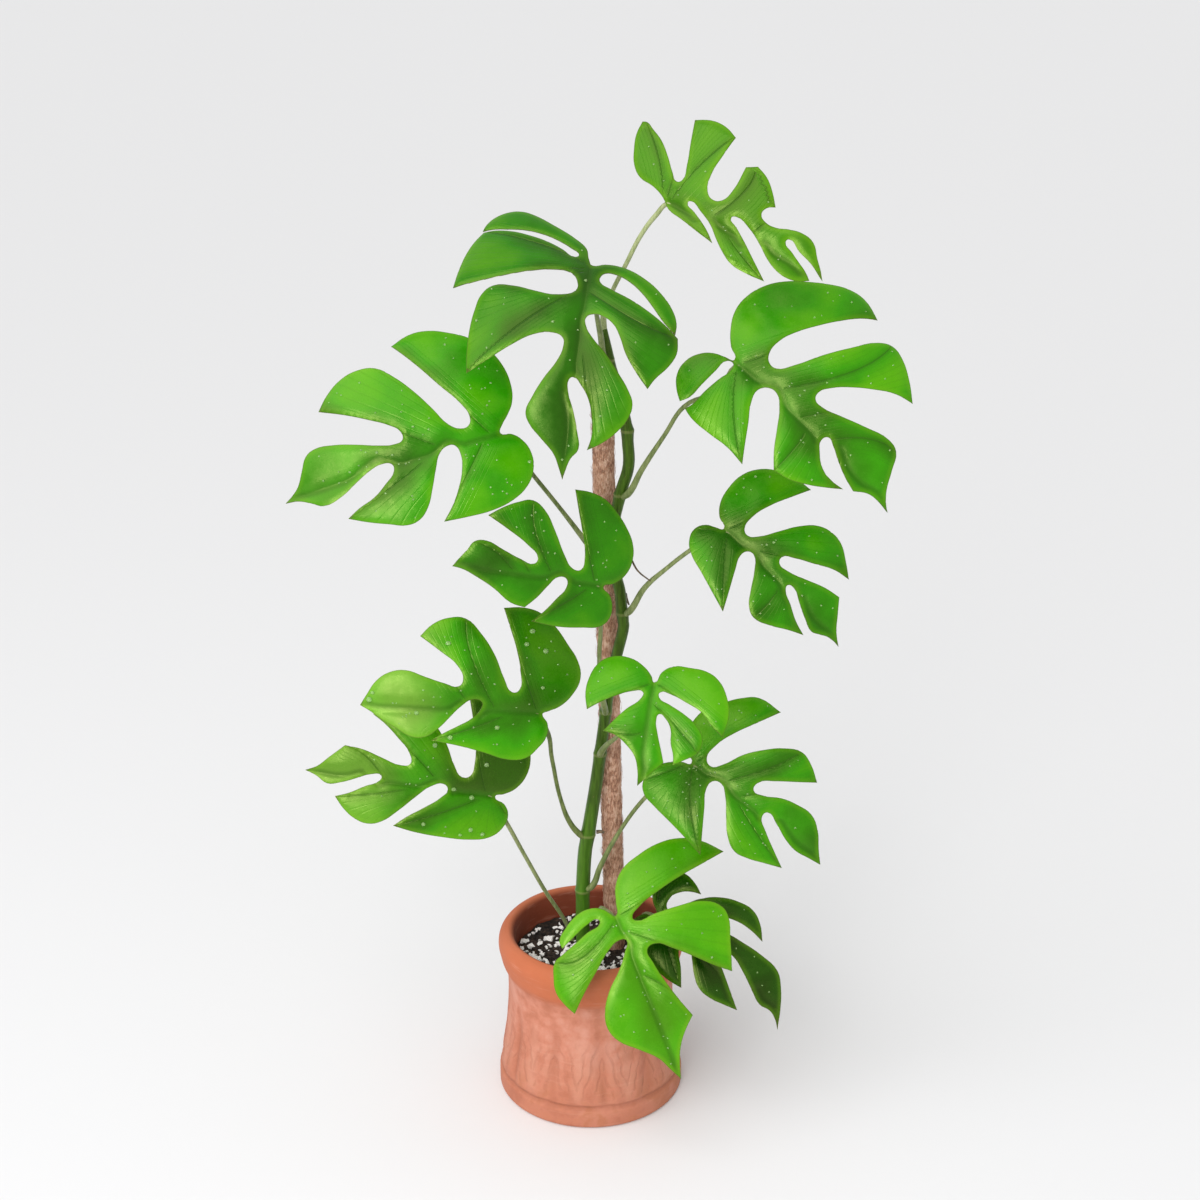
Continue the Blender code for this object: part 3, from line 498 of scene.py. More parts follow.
def flatBlade(shape):
    # the outline as one smooth closed curve with sharp lobe tips, filled and cut into a fine grid
    points = shape["outline"]
    around = points[-1:] + points + points[:1]
    tips = [number for number in range(len(points)) if turnAt(*around[number:number + 3]) > leafLook["tipTurn"]]
    data = newCurve("2D", 4)
    data.fill_mode = "BOTH"
    addSpline(data, [(*point, 0) for point in points], sharp=tips, closed=True)
    blade = shapeOfCurve(data)
    inner = [edge for edge in blade.edges if len(edge.link_faces) == 2]
    bmesh.ops.dissolve_edges(blade, edges=inner, use_verts=False)
    step = leafLook["grid"] * 1
    for axis, low, high, more in ((0, -60, 170, []), (1, -110, 110, leafLook["midribCuts"])):
        normal = Vector((1 - axis, axis, 0))
        for place in [low + step * number for number in range(int((high - low) / step))] + more:
            everything = blade.verts[:] + blade.edges[:] + blade.faces[:]
            plane = {"plane_co": normal * place, "plane_no": normal}
            bmesh.ops.bisect_plane(blade, geom=everything, dist=0.0001, **plane)
    bmesh.ops.remove_doubles(blade, verts=blade.verts, dist=0.25)
    bmesh.ops.triangulate(blade, faces=blade.faces, quad_method="BEAUTY", ngon_method="BEAUTY")
    slim = [face for face in blade.faces if all(vert.is_boundary for vert in face.verts)]
    bmesh.ops.poke(blade, faces=[face for face in slim if face.calc_area() > 0.6])
    bmesh.ops.recalc_face_normals(blade, faces=blade.faces)
    if sum(face.normal.z for face in blade.faces) < 0:
        bmesh.ops.reverse_faces(blade, faces=blade.faces)
    return blade


def midrib(shape):
    # the midrib keeps inside the blade on its way from base to tip, also where a slit lies across the middle
    points = shape["outline"]
    tip = max(points)
    stations = np.arange(0, tip[0], 2.0)
    line = []
    for u in stations:
        aim = tip[1] * u / tip[0]
        crossings = []
        for (u1, v1), (u2, v2) in zip(points, points[1:] + points[:1]):
            if (u1 > u + 0.01) != (u2 > u + 0.01):
                crossings.append(v1 + (v2 - v1) * (u + 0.01 - u1) / (u2 - u1))
        crossings.sort()
        bands = zip(crossings[::2], crossings[1::2])
        low, high = min(bands, key=lambda band: max(band[0] - aim, aim - band[1], 0))
        room = min(5, (high - low) / 2)
        line.append(min(max(aim, low + room), high - room) if u > 4 else 0)
    smooth = np.convolve(np.pad(line, 3, "edge"), np.ones(7) / 7, "valid")
    smooth[:2] = 0
    return stations, smooth


def lobeVeins(run, rib):
    # run is one side of the outline from base to tip, with across made positive
    ribAt = lambda u: np.interp(u, *rib)
    tips = []
    for number in range(1, len(run) - 1):
        here = run[number]
        if here[1] > 9 and turnAt(run[number - 1], here, run[number + 1]) > leafLook["veinTurn"]:
            if tips and math.dist(run[tips[-1]], here) < leafLook["veinApart"]:
                if here[1] <= run[tips[-1]][1]:
                    continue
                tips.pop()
            tips.append(number)
    if not tips:
        return []
    stops = tips[1:] + [max(len(run) - 5, tips[-1])]
    toRib = lambda point: abs(point[1] - ribAt(point[0]))
    slits = [min(run[a:b + 1], key=toRib) for a, b in zip(tips, stops)]
    veins = []
    for number, (tip, near, far) in enumerate(zip(tips, [(-1, 6)] + slits, slits)):
        neck = Vector(((near[0] + far[0]) / 2, (near[1] + far[1]) / 2))
        neck.y = max(neck.y, ribAt(neck.x) + 5)
        begin = max(neck.x - 0.75 * (neck.y - ribAt(neck.x)), 1 + 2 * number)
        start = Vector((begin, ribAt(begin)))
        end = Vector(run[tip]) + (neck - Vector(run[tip])).normalized() * 3
        mid = neck + (end - start) * 0.12
        steps = [step / 8 for step in range(9)]
        veins.append(np.array([start * (1 - t) ** 2 + mid * 2 * t * (1 - t) + end * t * t for t in steps]))
    return veins


def gapsTo(first, last, places):
    # distance from each place to each line from first to last
    way = last - first
    offset = places[:, None] - first
    share = np.clip((offset * way).sum(2) / (way ** 2).sum(1), 0, 1)
    return np.linalg.norm(offset - share[..., None] * way, axis=2)


def signedGap(vein, places):
    # distance from each place to a vein, less than nothing on its left
    gaps = gapsTo(vein[:-1], vein[1:], places)
    best = gaps.argmin(1)
    way = vein[best + 1] - vein[best]
    offset = places - vein[best]
    return gaps.min(1) * np.sign(way[:, 1] * offset[:, 0] - way[:, 0] * offset[:, 1])


def edgeField(blade, places, batch=1500):
    rim = [edge for edge in blade.edges if edge.is_boundary]
    first, last = (np.array([tuple(edge.verts[end].co.xy) for edge in rim]) for end in (0, 1))
    parts = [places[start:start + batch] for start in range(0, len(places), batch)]
    return np.concatenate([gapsTo(first, last, part).min(1) for part in parts])


def veinField(shape, places, aside, rib):
    # phase is whole on each main vein of a lobe, and spacing is the room between two of them
    points = shape["outline"]
    tip = max(range(len(points)), key=lambda number: points[number][0])
    runs = {1: points[:tip + 1], -1: [(u, -v) for u, v in points[:tip - 1:-1] + points[:1]]}
    loose = leafLook["veinRoom"]
    phase = np.zeros(len(places))
    spacing = np.full(len(places), loose)
    for side, run in runs.items():
        chosen = (aside >= 0) if side > 0 else (aside < 0)
        here = places[chosen] * (1, side)
        veins = lobeVeins(run, (rib[0], rib[1] * side))
        if not veins or not len(here):
            continue
        signed = [signedGap(vein, here) for vein in veins]
        level = 1 + np.clip(signed[0] / loose, -0.5, 0)
        room = np.full(len(here), loose)
        for one, two in zip(signed, signed[1:]):
            width = np.abs(one) + np.abs(two) + 0.001
            between = (one > 0) & (two <= 0)
            level += np.where(between, np.abs(one) / width, np.where(two > 0, 1.0, 0.0))
            room = np.where(between, width, room)
        level += np.clip(signed[-1] / loose, 0, 0.5)
        phase[chosen] = level
        spacing[chosen] = room
    return phase, spacing


def addField(mesh, name, *columns):
    field = mesh.attributes.new(name, "FLOAT_VECTOR", "POINT")
    field.data.foreach_set("vector", np.column_stack(columns).astype(np.float32).ravel())


def buildLeaf(name, shape, finishes):
    blade = flatBlade(shape)
    blade.verts.ensure_lookup_table()
    places = np.array([(vert.co.x, vert.co.y) for vert in blade.verts])
    rib = midrib(shape)
    aside = places[:, 1] - np.interp(places[:, 0], *rib)
    phase, spacing = veinField(shape, places, aside, rib)
    edge = edgeField(blade, places)
    fromVein = np.abs(phase - np.round(phase)) * spacing
    seed = sum(map(ord, name))
    lowest, highest = (Vector(corner) for corner in cadBox)
    thin, long = leafLook["thinShare"], leafLook["waveLength"]
    stout = []
    for vert, (u, v), out, rim, gap in zip(blade.verts, places, aside, edge, fromVein):
        ribbed = math.exp(-(out / leafLook["midribRound"]) ** 2)
        pillow = leafLook["pillow"] * 4 * gap * rim / (gap + rim + 0.5) ** 2 * ease(abs(out), 0, 9)
        wave = leafLook["wave"] * noise.noise(Vector((u / long, v / long, seed)))
        lift = pillow + wave - leafLook["midribSink"] * ribbed - leafLook["settle"]
        here = bladePoint(shape, u, v, lift) * mm
        vert.co = [min(max(here[axis], lowest[axis]), highest[axis]) for axis in range(3)]
        taper = 1 - 0.8 * min(max(u / shape["length"], 0), 1)
        vein = 0.16 * math.exp(-(gap / 1.3) ** 2)
        stout.append(min(thin + (1 - thin) * ribbed * taper + vein, 1) if rim > 0.1 else thin)
    for line in blade.edges:
        line.smooth = not line.is_boundary
    piece = pieceFrom(name + "_blade", blade, *finishes)
    addField(piece.data, "bladePlace", places[:, 0], aside, edge)
    addField(piece.data, "bladeVeins", phase, spacing, np.zeros(len(phase)))
    group = piece.vertex_groups.new(name="stout")
    for number, share in enumerate(stout):
        group.add([number], share, "REPLACE")
    solid = piece.modifiers.new("Thickness", "SOLIDIFY")
    solid.thickness = leafLook["thickest"] * mm
    solid.offset = -1
    solid.vertex_group = "stout"
    solid.material_offset = 1
    enrol(piece, name, name)
    return piece


def leafFinish(name, dress, under=False):
    look = leafLook
    light, dark, yellow, paintedSheenTip, paintedShadowBase = (
        dress.get(key, 0) for key in ("light", "dark", "yellow", "paintedSheenTip", "paintedShadowBase")
    )
    finish = Finish(name, IOR=1.5, Specular_Tint=look["specular"])
    field = lambda key: finish.split(finish.node("Attribute", {"attribute_name": key}, {}, "Vector"))
    u, v, edge = field("bladePlace")
    phase, spacing = field("bladeVeins")[:2]
    fromMidrib = v.maths("ABSOLUTE")
    fromVein = phase.maths("PINGPONG", 0.5) * spacing
    nearMidrib = finish.ease(fromMidrib, 3.6, 0.3)
    away = finish.ease(fromMidrib, 1.8, 4.5)
    nearVein = finish.ease(fromVein, 3.6, 0.2) * away
    crease = finish.ease(fromVein, 0.8, 0.1) * away
    fine = finish.ease((phase * 9).maths("PINGPONG", 0.5), 0.16, 0.0) * finish.ease(fromMidrib, 3, 9)
    if under:
        low, mid, high = look["under"]
        rib = look["underRib"]
    else:
        toned = lambda colour, deep, bright: [a * (1 - deep * dark) * (1 + bright * light) for a in colour]
        low, mid, high = map(toned, look["upper"], (0.78, 0.78, 0.72), (0, 0.25, 0.25))
        rib = [a * 0.8 for a in low]
    cloud = finish.noise(17, 2)
    mottle = finish.noise(170, 3)
    outward = finish.ease(fromVein, 0.5, 15) * finish.ease(fromMidrib, 2, 26)
    shade = outward * 0.34 + finish.ease(cloud, 0.34, 0.66) * 0.46 + mottle * 0.12
    colour = finish.ramp(shade, (0.0, low), (0.5, mid), (1.0, high))
    if yellow:
        colour = finish.blend(yellow, colour, look["yellow"])
    # painted sheen: toward the tips the lobes turn paler, standing in for reflected light
    if paintedSheenTip and not under:
        colour = finish.blend(finish.ease(u + cloud * 30, 80, 112) * paintedSheenTip, colour, look["paintedSheenTip"])
    # painted shadow: near the base, on the negative-across side, the blade is darkened as if shaded by the leaf
    # above
    if paintedShadowBase and not under:
        shaded = finish.ease(u + cloud * 24, 78, 44) * finish.ease(v, 3, -5) * paintedShadowBase
        colour = finish.blend(shaded, colour, look["paintedShadowBase"])
    # the lobe veins are darker: partly the veins' own colour, partly painted shade in the sunken crease along
    # each vein
    colour = finish.blend(nearVein * 0.3 + crease * 0.25, colour, rib)
    colour = finish.blend(nearMidrib * 0.45, colour, rib)
    colour = finish.blend(fine * 0.10, colour, low)
    colour = finish.blend(finish.ease(edge, 4.5, 0.8) * (0.2 + 0.5 * yellow), colour, look["paleEdge"])
    colour = finish.blend(finish.ease(edge, 0.55, 0.3) * (0.5 - 0.3 * yellow), colour, look["margin"])
    finish.put("Base Color", colour)
    roughness = finish.ease(mottle, 0.3, 0.7, 0.20, 0.33) + nearMidrib * 0.08
    finish.put("Roughness", roughness + (0.14 if under else 0))
    relief = finish.noise(1400, 2) * 0.06 + mottle * 0.4 - crease * 0.7 - fine * 0.22 - nearMidrib * 0.4
    finish.bump(relief, 0.5, 0.0006)
    return finish


def buildDew(name, leaf, finish, drops):
    # drops of water stand on the upper side, away from the edges
    chance = random.Random(name)
    field = leaf.data.attributes["bladePlace"].data
    dry = [vert for vert in leaf.data.vertices if field[vert.index].vector.z > 3]
    shape = bmesh.new()
    for low, high, count in drops:
        for vert in chance.sample(dry, min(count, len(dry))):
            radius = chance.uniform(low, high) * mm
            made = bmesh.ops.create_uvsphere(shape, u_segments=10, v_segments=6, radius=radius)["verts"]
            bmesh.ops.scale(shape, vec=(1, chance.uniform(0.8, 1), 0.55), verts=made)
            turn = vert.normal.to_track_quat("Z", "Y").to_matrix().to_4x4()
            bmesh.ops.transform(shape, matrix=turn, verts=made)
            bmesh.ops.translate(shape, vec=vert.co + vert.normal * radius * 0.22, verts=made)
    enrol(pieceFrom(name, shape, finish), leaf.name[:7])


# the drops' pale base colour is painted brightness: clear water has none, and it stands in for the light each
# drop gathers
dewFinish = Finish("dew", Base_Color=leafLook["dew"], Roughness=0.05, IOR=1.33, Transmission_Weight=0.7)

for leafName, leafShape in leafShapes.items():
    dress = leafDress[leafName]
    upper = leafFinish(leafName + "_upper", dress)
    below = leafFinish(leafName + "_under", dress, True)
    leaf = buildLeaf(leafName, leafShape, [upper, below])
    buildDew(leafName + "_dew", leaf, dewFinish, dress["dew"])
print("leaves done")


# stem, petioles and aerial roots

vineLook = {
    "stemY": -7,
    "lowRadius": 5.7,
    "highRadius": 4.5,
    "inset": 0.25,
    "nodeRise": 0.75,
    "tipFrom": 606,
    "tipTo": 622,
    "tipShare": 0.4,
    "petiole": 1.6,
    "sheath": 2.6,
    "sheathFoot": 2.4,
    "seatGap": 0.3,
    "enterDrop": 3.4,
    "stemColours": ((0.015, 0.042, 0.003), (0.048, 0.115, 0.008)),
    "lowColour": (0.08, 0.25, 0.015),
    "ringColour": (0.26, 0.26, 0.10),
    "dotColour": (0.17, 0.13, 0.06),
    "greenStalk": ((0.060, 0.095, 0.016), (0.15, 0.19, 0.05)),
    "paleStalk": ((0.25, 0.30, 0.12), (0.42, 0.46, 0.24)),
    "bark": ((0.06, 0.045, 0.03), (0.20, 0.14, 0.08)),
}
stemLine = [
    (-6, 45), (-6, 100), (-6, 144), (-6, 175), (-4, 210), (0, 236), (5, 271), (9, 304), (13, 338),
    (19, 370), (25, 398), (22, 426), (16, 450), (18, 481), (22, 500), (28, 522), (27, 548), (22, 571),
    (13, 600), (10, 622),
]
nodeHeights = (150, 175, 224, 293, 328, 408, 441, 500, 548, 600)
# enter is the place (along, across) on the blade that a stalk passes under before it reaches the base
petioles = {
    "petiole_01": {
        "enter": (0, -10), "pale": 0.85,
        "points": [(9.9, -7, 623), (10.4, -8.5, 634), (16, -13, 650), (25, -17, 669), (36, -19, 691)],
    },
    "petiole_02": {"enter": (14, 5), "pale": 0.3, "points": [(10.3, -14, 603), (8, -22, 620), (5, -34, 640)]},
    "petiole_03": {
        "enter": (-6, 16), "points": [(11.4, -11.7, 445), (-2, -16, 466), (-21, -20, 494), (-40, -28, 522)],
    },
    "petiole_04": {
        "enter": (6.5, -20), "points": [(27.8, -13.3, 503), (37, -18, 522), (53, -24, 550), (66, -29, 572)],
    },
    "petiole_05": {
        "enter": (0, 12), "points": [(11.3, -14.2, 332), (8, -30, 358), (7, -40, 386), (8, -49, 412)],
    },
    "petiole_06": {
        "enter": (-3, -16), "pale": 0.35,
        "points": [(29.5, -12.5, 412), (40, -15, 431), (56, -19, 448), (70, -22, 461)],
    },
    "petiole_07": {
        "enter": (-3, 10), "pale": 0.05,
        "points": [(-8.2, -10.3, 226), (-15, -14, 237), (-22, -22, 261), (-28, -38, 303)],
    },
    "petiole_08": {
        "enter": (-6, 12), "pale": 0.5, "inSoil": True,
        "points": [(-11, 17, 80), (-14, 15, 113), (-19, 10, 134), (-36, 0, 171), (-51, -7, 206)],
    },
    "petiole_09": {
        "enter": (9, -7), "points": [(8, -14.5, 297), (12, -22, 307), (20, -34, 320), (31, -55, 345)],
    },
    "petiole_10": {
        "enter": (-7, -20), "points": [(1, -12.5, 181), (8, -15, 201), (24, -18, 235), (41, -21, 262)],
    },
    "petiole_11": {"enter": (-7, -5), "points": [(-4.5, -14.5, 153), (0, -24, 164), (6, -38, 174)]},
    "petiole_12": {
        "enter": (-7, -4), "inSoil": True,
        "points": [(33, -14, 80), (34, -15, 112), (37, -18, 135), (42, -27, 155)],
    },
}
roots = {
    "aerial_root_01": {
        "radii": (1.0, 0.5), "points": [(21.4, -7.5, 457), (29, -11, 453), (35, -14, 444), (44, -19, 438)],
    },
    "aerial_root_02": {"radii": (1.6, 0.6), "points": [(26, -2, 421), (27, 0, 417), (29, 2, 411)]},
    "aerial_root_03": {"radii": (1.7, 0.9), "points": [(4.8, -7, 226), (8.5, -7.4, 226.5), (11, -8, 226)]},
}


def stemPlace(height):
    for (x1, z1), (x2, z2) in zip(stemLine, stemLine[1:]):
        if z1 <= height <= z2:
            return x1 + (x2 - x1) * (height - z1) / (z2 - z1)


def stemThickness(z, rise):
    # thinner from 200 to 350 mm up, swollen by rise at a node, and tapered into the highest stalk
    radius = vineLook["lowRadius"] + (vineLook["highRadius"] - vineLook["lowRadius"]) * ease(z, 200, 350)
    taper = 1 - vineLook["tipShare"] * ease(z, vineLook["tipFrom"], vineLook["tipTo"])
    return (radius - vineLook["inset"] + vineLook["nodeRise"] * rise) * taper


def buildStem():
    knots = {z: (x, 0) for x, z in stemLine}
    for height in nodeHeights:
        for offset, rise in ((-7, 0), (-2, 0.45), (0, 1), (1.6, 0.55), (5, 0.1)):
            knots[height + offset] = (stemPlace(height + offset), rise)
    run = []
    for z in sorted(knots):
        x, rise = knots[z]
        if not run or z - run[-1][0][2] >= 1:
            run.append(((x, vineLook["stemY"], z), stemThickness(z, rise)))
    enrol(pieceFrom("vine", tubeShape([run], 28, 5), stemFinish()), "vine_stem", "vine_stem")


def stemFinish():
    finish = Finish("vineSkin", Roughness=0.42, Specular_Tint=(0.8, 1, 0.3, 1))
    streaks = finish.streaks((420, 420, 40))
    z = finish.split(finish.place())[2]
    dots = finish.noise(520, 2)
    colour = finish.blend(finish.ease(streaks, 0.35, 0.7), *vineLook["stemColours"])
    colour = finish.blend(finish.ease(z, 0.30, 0.16) * 0.4, colour, vineLook["lowColour"])
    for height in nodeHeights:
        ring = finish.ease((z - height * mm).maths("ABSOLUTE"), 0.0016, 0.0004)
        colour = finish.blend(ring * 0.35, colour, vineLook["ringColour"])
    colour = finish.blend(finish.ease(dots, 0.66, 0.74) * 0.4, colour, vineLook["dotColour"])
    finish.put("Base Color", colour)
    finish.bump(streaks * 0.7 + dots * 0.3, 0.5, 0.0006)
    return finish


def petioleFinish(name, pale):
    finish = Finish(name, Roughness=0.45, Specular_Tint=(0.9, 1, 0.6, 1))
    streaks = finish.streaks((600, 600, 60))
    cloud = finish.noise(70, 2)
    pairs = zip(vineLook["greenStalk"], vineLook["paleStalk"])
    one, two = (tuple(a + (b - a) * pale for a, b in zip(*pair)) for pair in pairs)
    finish.put("Base Color", finish.blend(finish.ease(streaks * 0.6 + cloud * 0.4, 0.38, 0.64), one, two))
    finish.bump(streaks, 0.45, 0.0005)
    return finish


def buildPetiole(name, petiole):
    shape = leafShapes[name.replace("petiole", "leaf")]
    out = bladeFrame(shape)[2]
    thin = vineLook["petiole"]
    seat = bladePoint(shape, 5, 0) - out * (vineLook["seatGap"] + thin)
    under = bladePoint(shape, *petiole["enter"]) - out * (vineLook["enterDrop"] + thin)
    run = [Vector(point) for point in petiole["points"]] + [under, seat]
    radii = [vineLook["sheath"], (vineLook["sheath"] + thin) / 2] + [thin] * (len(run) - 2)
    if "inSoil" not in petiole:
        low = run[0].z - 6
        foot = Vector((stemPlace(low), vineLook["stemY"], low))
        run.insert(0, foot.lerp(run[0], 0.25))
        radii.insert(0, vineLook["sheathFoot"])
    radii[-2] = thin * 1.08
    # the stalk thins out into the midrib under the blade
    for u, drop, radius in ((11, 2.6, 1.4), (17, 2.0, 0.9)):
        run.append(bladePoint(shape, u, 0, -drop))
        radii.append(radius)
    finish = petioleFinish(name, petiole.get("pale", 0.25))
    enrol(pieceFrom(name + "_stalk", tubeShape([list(zip(run, radii))], 16, 6), finish), name, name)


def buildRoot(name, root, finish):
    thick, thin = root["radii"]
    last = len(root["points"]) - 1
    run = [(point, thick + (thin - thick) * number / last) for number, point in enumerate(root["points"])]
    enrol(pieceFrom(name + "_strand", tubeShape([run], 12, 5), finish), name, name)


def barkFinish():
    finish = Finish("rootBark", Roughness=0.8)
    return finish.grain(finish.noise(500, 4), *vineLook["bark"], 0.6, 0.0006)


buildStem()
for petioleName, petiole in petioles.items():
    buildPetiole(petioleName, petiole)
bark = barkFinish()
for rootName, root in roots.items():
    buildRoot(rootName, root, bark)
print("stalks done")


# fibre pole and its stake

poleLook = {
    "foot": (21.3, 8.0, 30.0),
    "top": (9.2, 8.0, 562.0),
    "radius": 7.9,
    "bore": 3.3,
    "rough": 0.55,
    "hairs": 900,
    "hairLength": (7, 18),
    "hairRadius": 0.14,
    "colours": ((0.24, 0.11, 0.065), (0.50, 0.26, 0.165), (0.70, 0.46, 0.34)),
    "stake": ((0.16, 0.09, 0.04), (0.36, 0.24, 0.12)),
}


def poleFinish():
    finish = Finish("coir", Roughness=0.95)
    strands = finish.streaks((900, 900, 240), 4, 0.65, (0.5, 0.3, 0))
    mix = finish.ease(strands * 0.65 + finish.noise(120, 3) * 0.35, 0.36, 0.64)
    finish.put("Base Color", finish.ramp(mix, *zip((0.0, 0.45, 1.0), poleLook["colours"])))
    finish.bump(strands, 0.9, 0.0012)
    return finish


def hairRun(chance, long):
    # one loose hair of coir along the sleeve, on an upright pole: most lie close and some stand off
    angle = chance.uniform(0, math.tau)
    height = chance.uniform(80, long - 8)
    length = chance.uniform(*poleLook["hairLength"])
    slope = chance.choice((-1, 1)) * chance.uniform(0.3, 1.2)
    stray = chance.uniform(0.0, 0.9) if chance.random() < 0.85 else chance.uniform(1, 2.4)
    run = []
    for share in (0, 0.33, 0.67, 1):
        reach = poleLook["radius"] + 0.15 + stray * (math.sin(share * math.pi) if stray < 1 else share)
        turn = angle + share * length * math.sin(slope) / poleLook["radius"]
        up = height + share * length * math.cos(slope)
        place = Vector((reach * math.cos(turn), reach * math.sin(turn), up))
        run.append((place, poleLook["hairRadius"] * (1.1 - share * 0.6)))
    return run


def buildPole():
    foot = Vector(poleLook["foot"]) * mm
    top = Vector(poleLook["top"]) * mm
    lean = (top - foot).to_track_quat("Z", "Y").to_matrix().to_4x4()
    long = (top - foot).length
    bore, radius = poleLook["bore"] * mm, poleLook["radius"] * mm
    shape = bmesh.new()
    verts = [shape.verts.new((r, 0, z)) for r, z in ((bore, 0), (radius, 0), (radius, long), (bore, long))]
    edges = [shape.edges.new((verts[i], verts[(i + 1) % 4])) for i in range(4)]
    bmesh.ops.subdivide_edges(shape, edges=[edges[1]], cuts=180)
    spinRound(shape, 40)
    for vert in shape.verts:
        if vert.co.xy.length > 0.006:
            bumpy = noise.fractal(Vector((vert.co.x * 260, vert.co.y * 260, vert.co.z * 130)), 1, 2, 3)
            vert.co.xy *= 1 + poleLook["rough"] * mm * bumpy / vert.co.xy.length
    bmesh.ops.transform(shape, matrix=lean, verts=shape.verts)
    bmesh.ops.translate(shape, vec=foot, verts=shape.verts)
    finish = poleFinish()
    enrol(pieceFrom("coirSleeve", shape, finish), "fibre_pole", "fibre_pole")
    chance = random.Random(7)
    hairs = [hairRun(chance, long / mm) for number in range(poleLook["hairs"])]
    leaning = [[(lean @ place + foot / mm, thick) for place, thick in run] for run in hairs]
    enrol(pieceFrom("coirHairs", tubeShape(leaning, 4, 2), finish), "fibre_pole")


def stakeFinish():
    finish = Finish("stakeWood", Roughness=0.7)
    return finish.grain(finish.streaks((900, 900, 60), 4), *poleLook["stake"], 0.5, 0.0005)


buildPole()
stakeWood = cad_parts["pole_stake"].data.materials
stakeWood.clear()
stakeWood.append(stakeFinish().material)
print("pole done")


# pot

potLook = {
    "height": 138.0,
    "foot": 73.5,
    "waist": 65.8,
    "rim": 73.0,
    "mouth": 60.5,
    "floor": 12.0,
    "steps": 240,
    "folds": 11,
    "foldDepth": 2.1,
    "handmade": 0.5,
    "drains": 3,
    "drain": 5.0,
    "drainAt": 32.0,
    "clay": ((0.43, 0.14, 0.074), (0.54, 0.20, 0.124), (0.61, 0.27, 0.19)),
    "lowWall": (0.40, 0.12, 0.042),
    "rimColour": (0.50, 0.125, 0.042),
    # painted shade: the inside wall is darkened as in the shade under the rim
    "inside": (0.17, 0.025, 0.005),
    "wiped": (0.68, 0.34, 0.24),
    # painted shade in the fold hollows and a painted highlight on the fold crests
    "hollowShade": (0.37, 0.11, 0.052),
    "crestHighlight": (0.64, 0.31, 0.215),
    "pressed": (0.32, 0.095, 0.045),
    # painted shade in the groove above the foot
    "shadedGroove": (0.30, 0.09, 0.045),
}


def potOutline():
    height, foot, waist, rim, mouth, floor = (
        potLook[key] for key in ("height", "foot", "waist", "rim", "mouth", "floor")
    )
    return [
        (0, 0), (foot - 2, 0), (foot, 2), (foot, 13), (foot - 1.2, 16), (foot - 1.6, 18), (foot - 0.7, 21),
        (foot - 2.5, 36), (waist + 2.2, 58), (waist + 0.3, 78), (waist, 94), (waist + 1.2, 104),
        (waist + 4.4, 112), (rim - 1.2, 119), (rim, 125), (rim - 0.6, 131), (rim - 3, 135.5),
        (rim - 6.5, 137.7),
        (mouth + 4.5, height), (mouth + 1.5, 136), (mouth, 131), (mouth - 0.5, 118), (mouth - 1, 60),
        (mouth - 2, 20), (mouth - 5, floor), (0, floor),
    ]


def foldAt(angle, z):
    # soft upright folds in the lower half of the wall, as pressed by hand
    window = ease(z, 14, 26) * ease(z, 92, 62)
    if window <= 0:
        return 0
    warp = 0.25 * noise.noise(Vector((math.cos(angle) * 2, math.sin(angle) * 2, z / 40)))
    wave = abs((angle / math.tau * potLook["folds"] + warp) % 1 - 0.5) * 2
    valley = math.exp(-(wave / 0.24) ** 2)
    return -window * potLook["foldDepth"] * (valley + 0.25 * wave)


def potShape():
    outline = potOutline()
    data = newCurve("3D", 7)
    flat = (0, 1, len(outline) - 2, len(outline) - 1)
    addSpline(data, [(radius * mm, 0, z * mm) for radius, z in outline], sharp=flat)
    pot = shapeOfCurve(data)
    spinRound(pot, potLook["steps"])
    for vert in pot.verts:
        reach = vert.co.xy.length
        z = vert.co.z / mm
        if reach < 0.052 or z < 3:
            continue
        angle = math.atan2(vert.co.y, vert.co.x)
        outer = reach > 0.0635
        lumps = noise.fractal(Vector((vert.co.x * 22, vert.co.y * 22, vert.co.z * 34)), 1, 2, 2)
        push = potLook["handmade"] * (lumps - 0.4) + (foldAt(angle, z) if outer else 0)
        vert.co.xy *= min(reach + push * mm, (potLook["foot"] - 0.02) * mm) / reach
    return pot


def cutDrain(pot, angle, finish):
    cutter = bmesh.new()
    radius = potLook["drain"] * mm
    bmesh.ops.create_cone(cutter, cap_ends=True, segments=32, radius1=radius, radius2=radius, depth=0.04)
    offset = Vector((math.cos(angle), math.sin(angle), 0)) * potLook["drainAt"] * mm
    bmesh.ops.translate(cutter, vec=offset, verts=cutter.verts)
    hole = pieceFrom("drainCut", cutter, finish)
    cut = pot.modifiers.new("Drain", "BOOLEAN")
    cut.object = hole
    cut.solver = "EXACT"
    finished = finalMesh(pot)
    pot.modifiers.clear()
    pot.data = finished
    bpy.data.objects.remove(hole)


def buildPot(finish):
    pot = pieceFrom("clayPot", potShape(), finish)
    for number in range(potLook["drains"]):
        cutDrain(pot, math.radians(30 + 360 / potLook["drains"] * number), finish)
    enrol(pot, "pot", "pot")


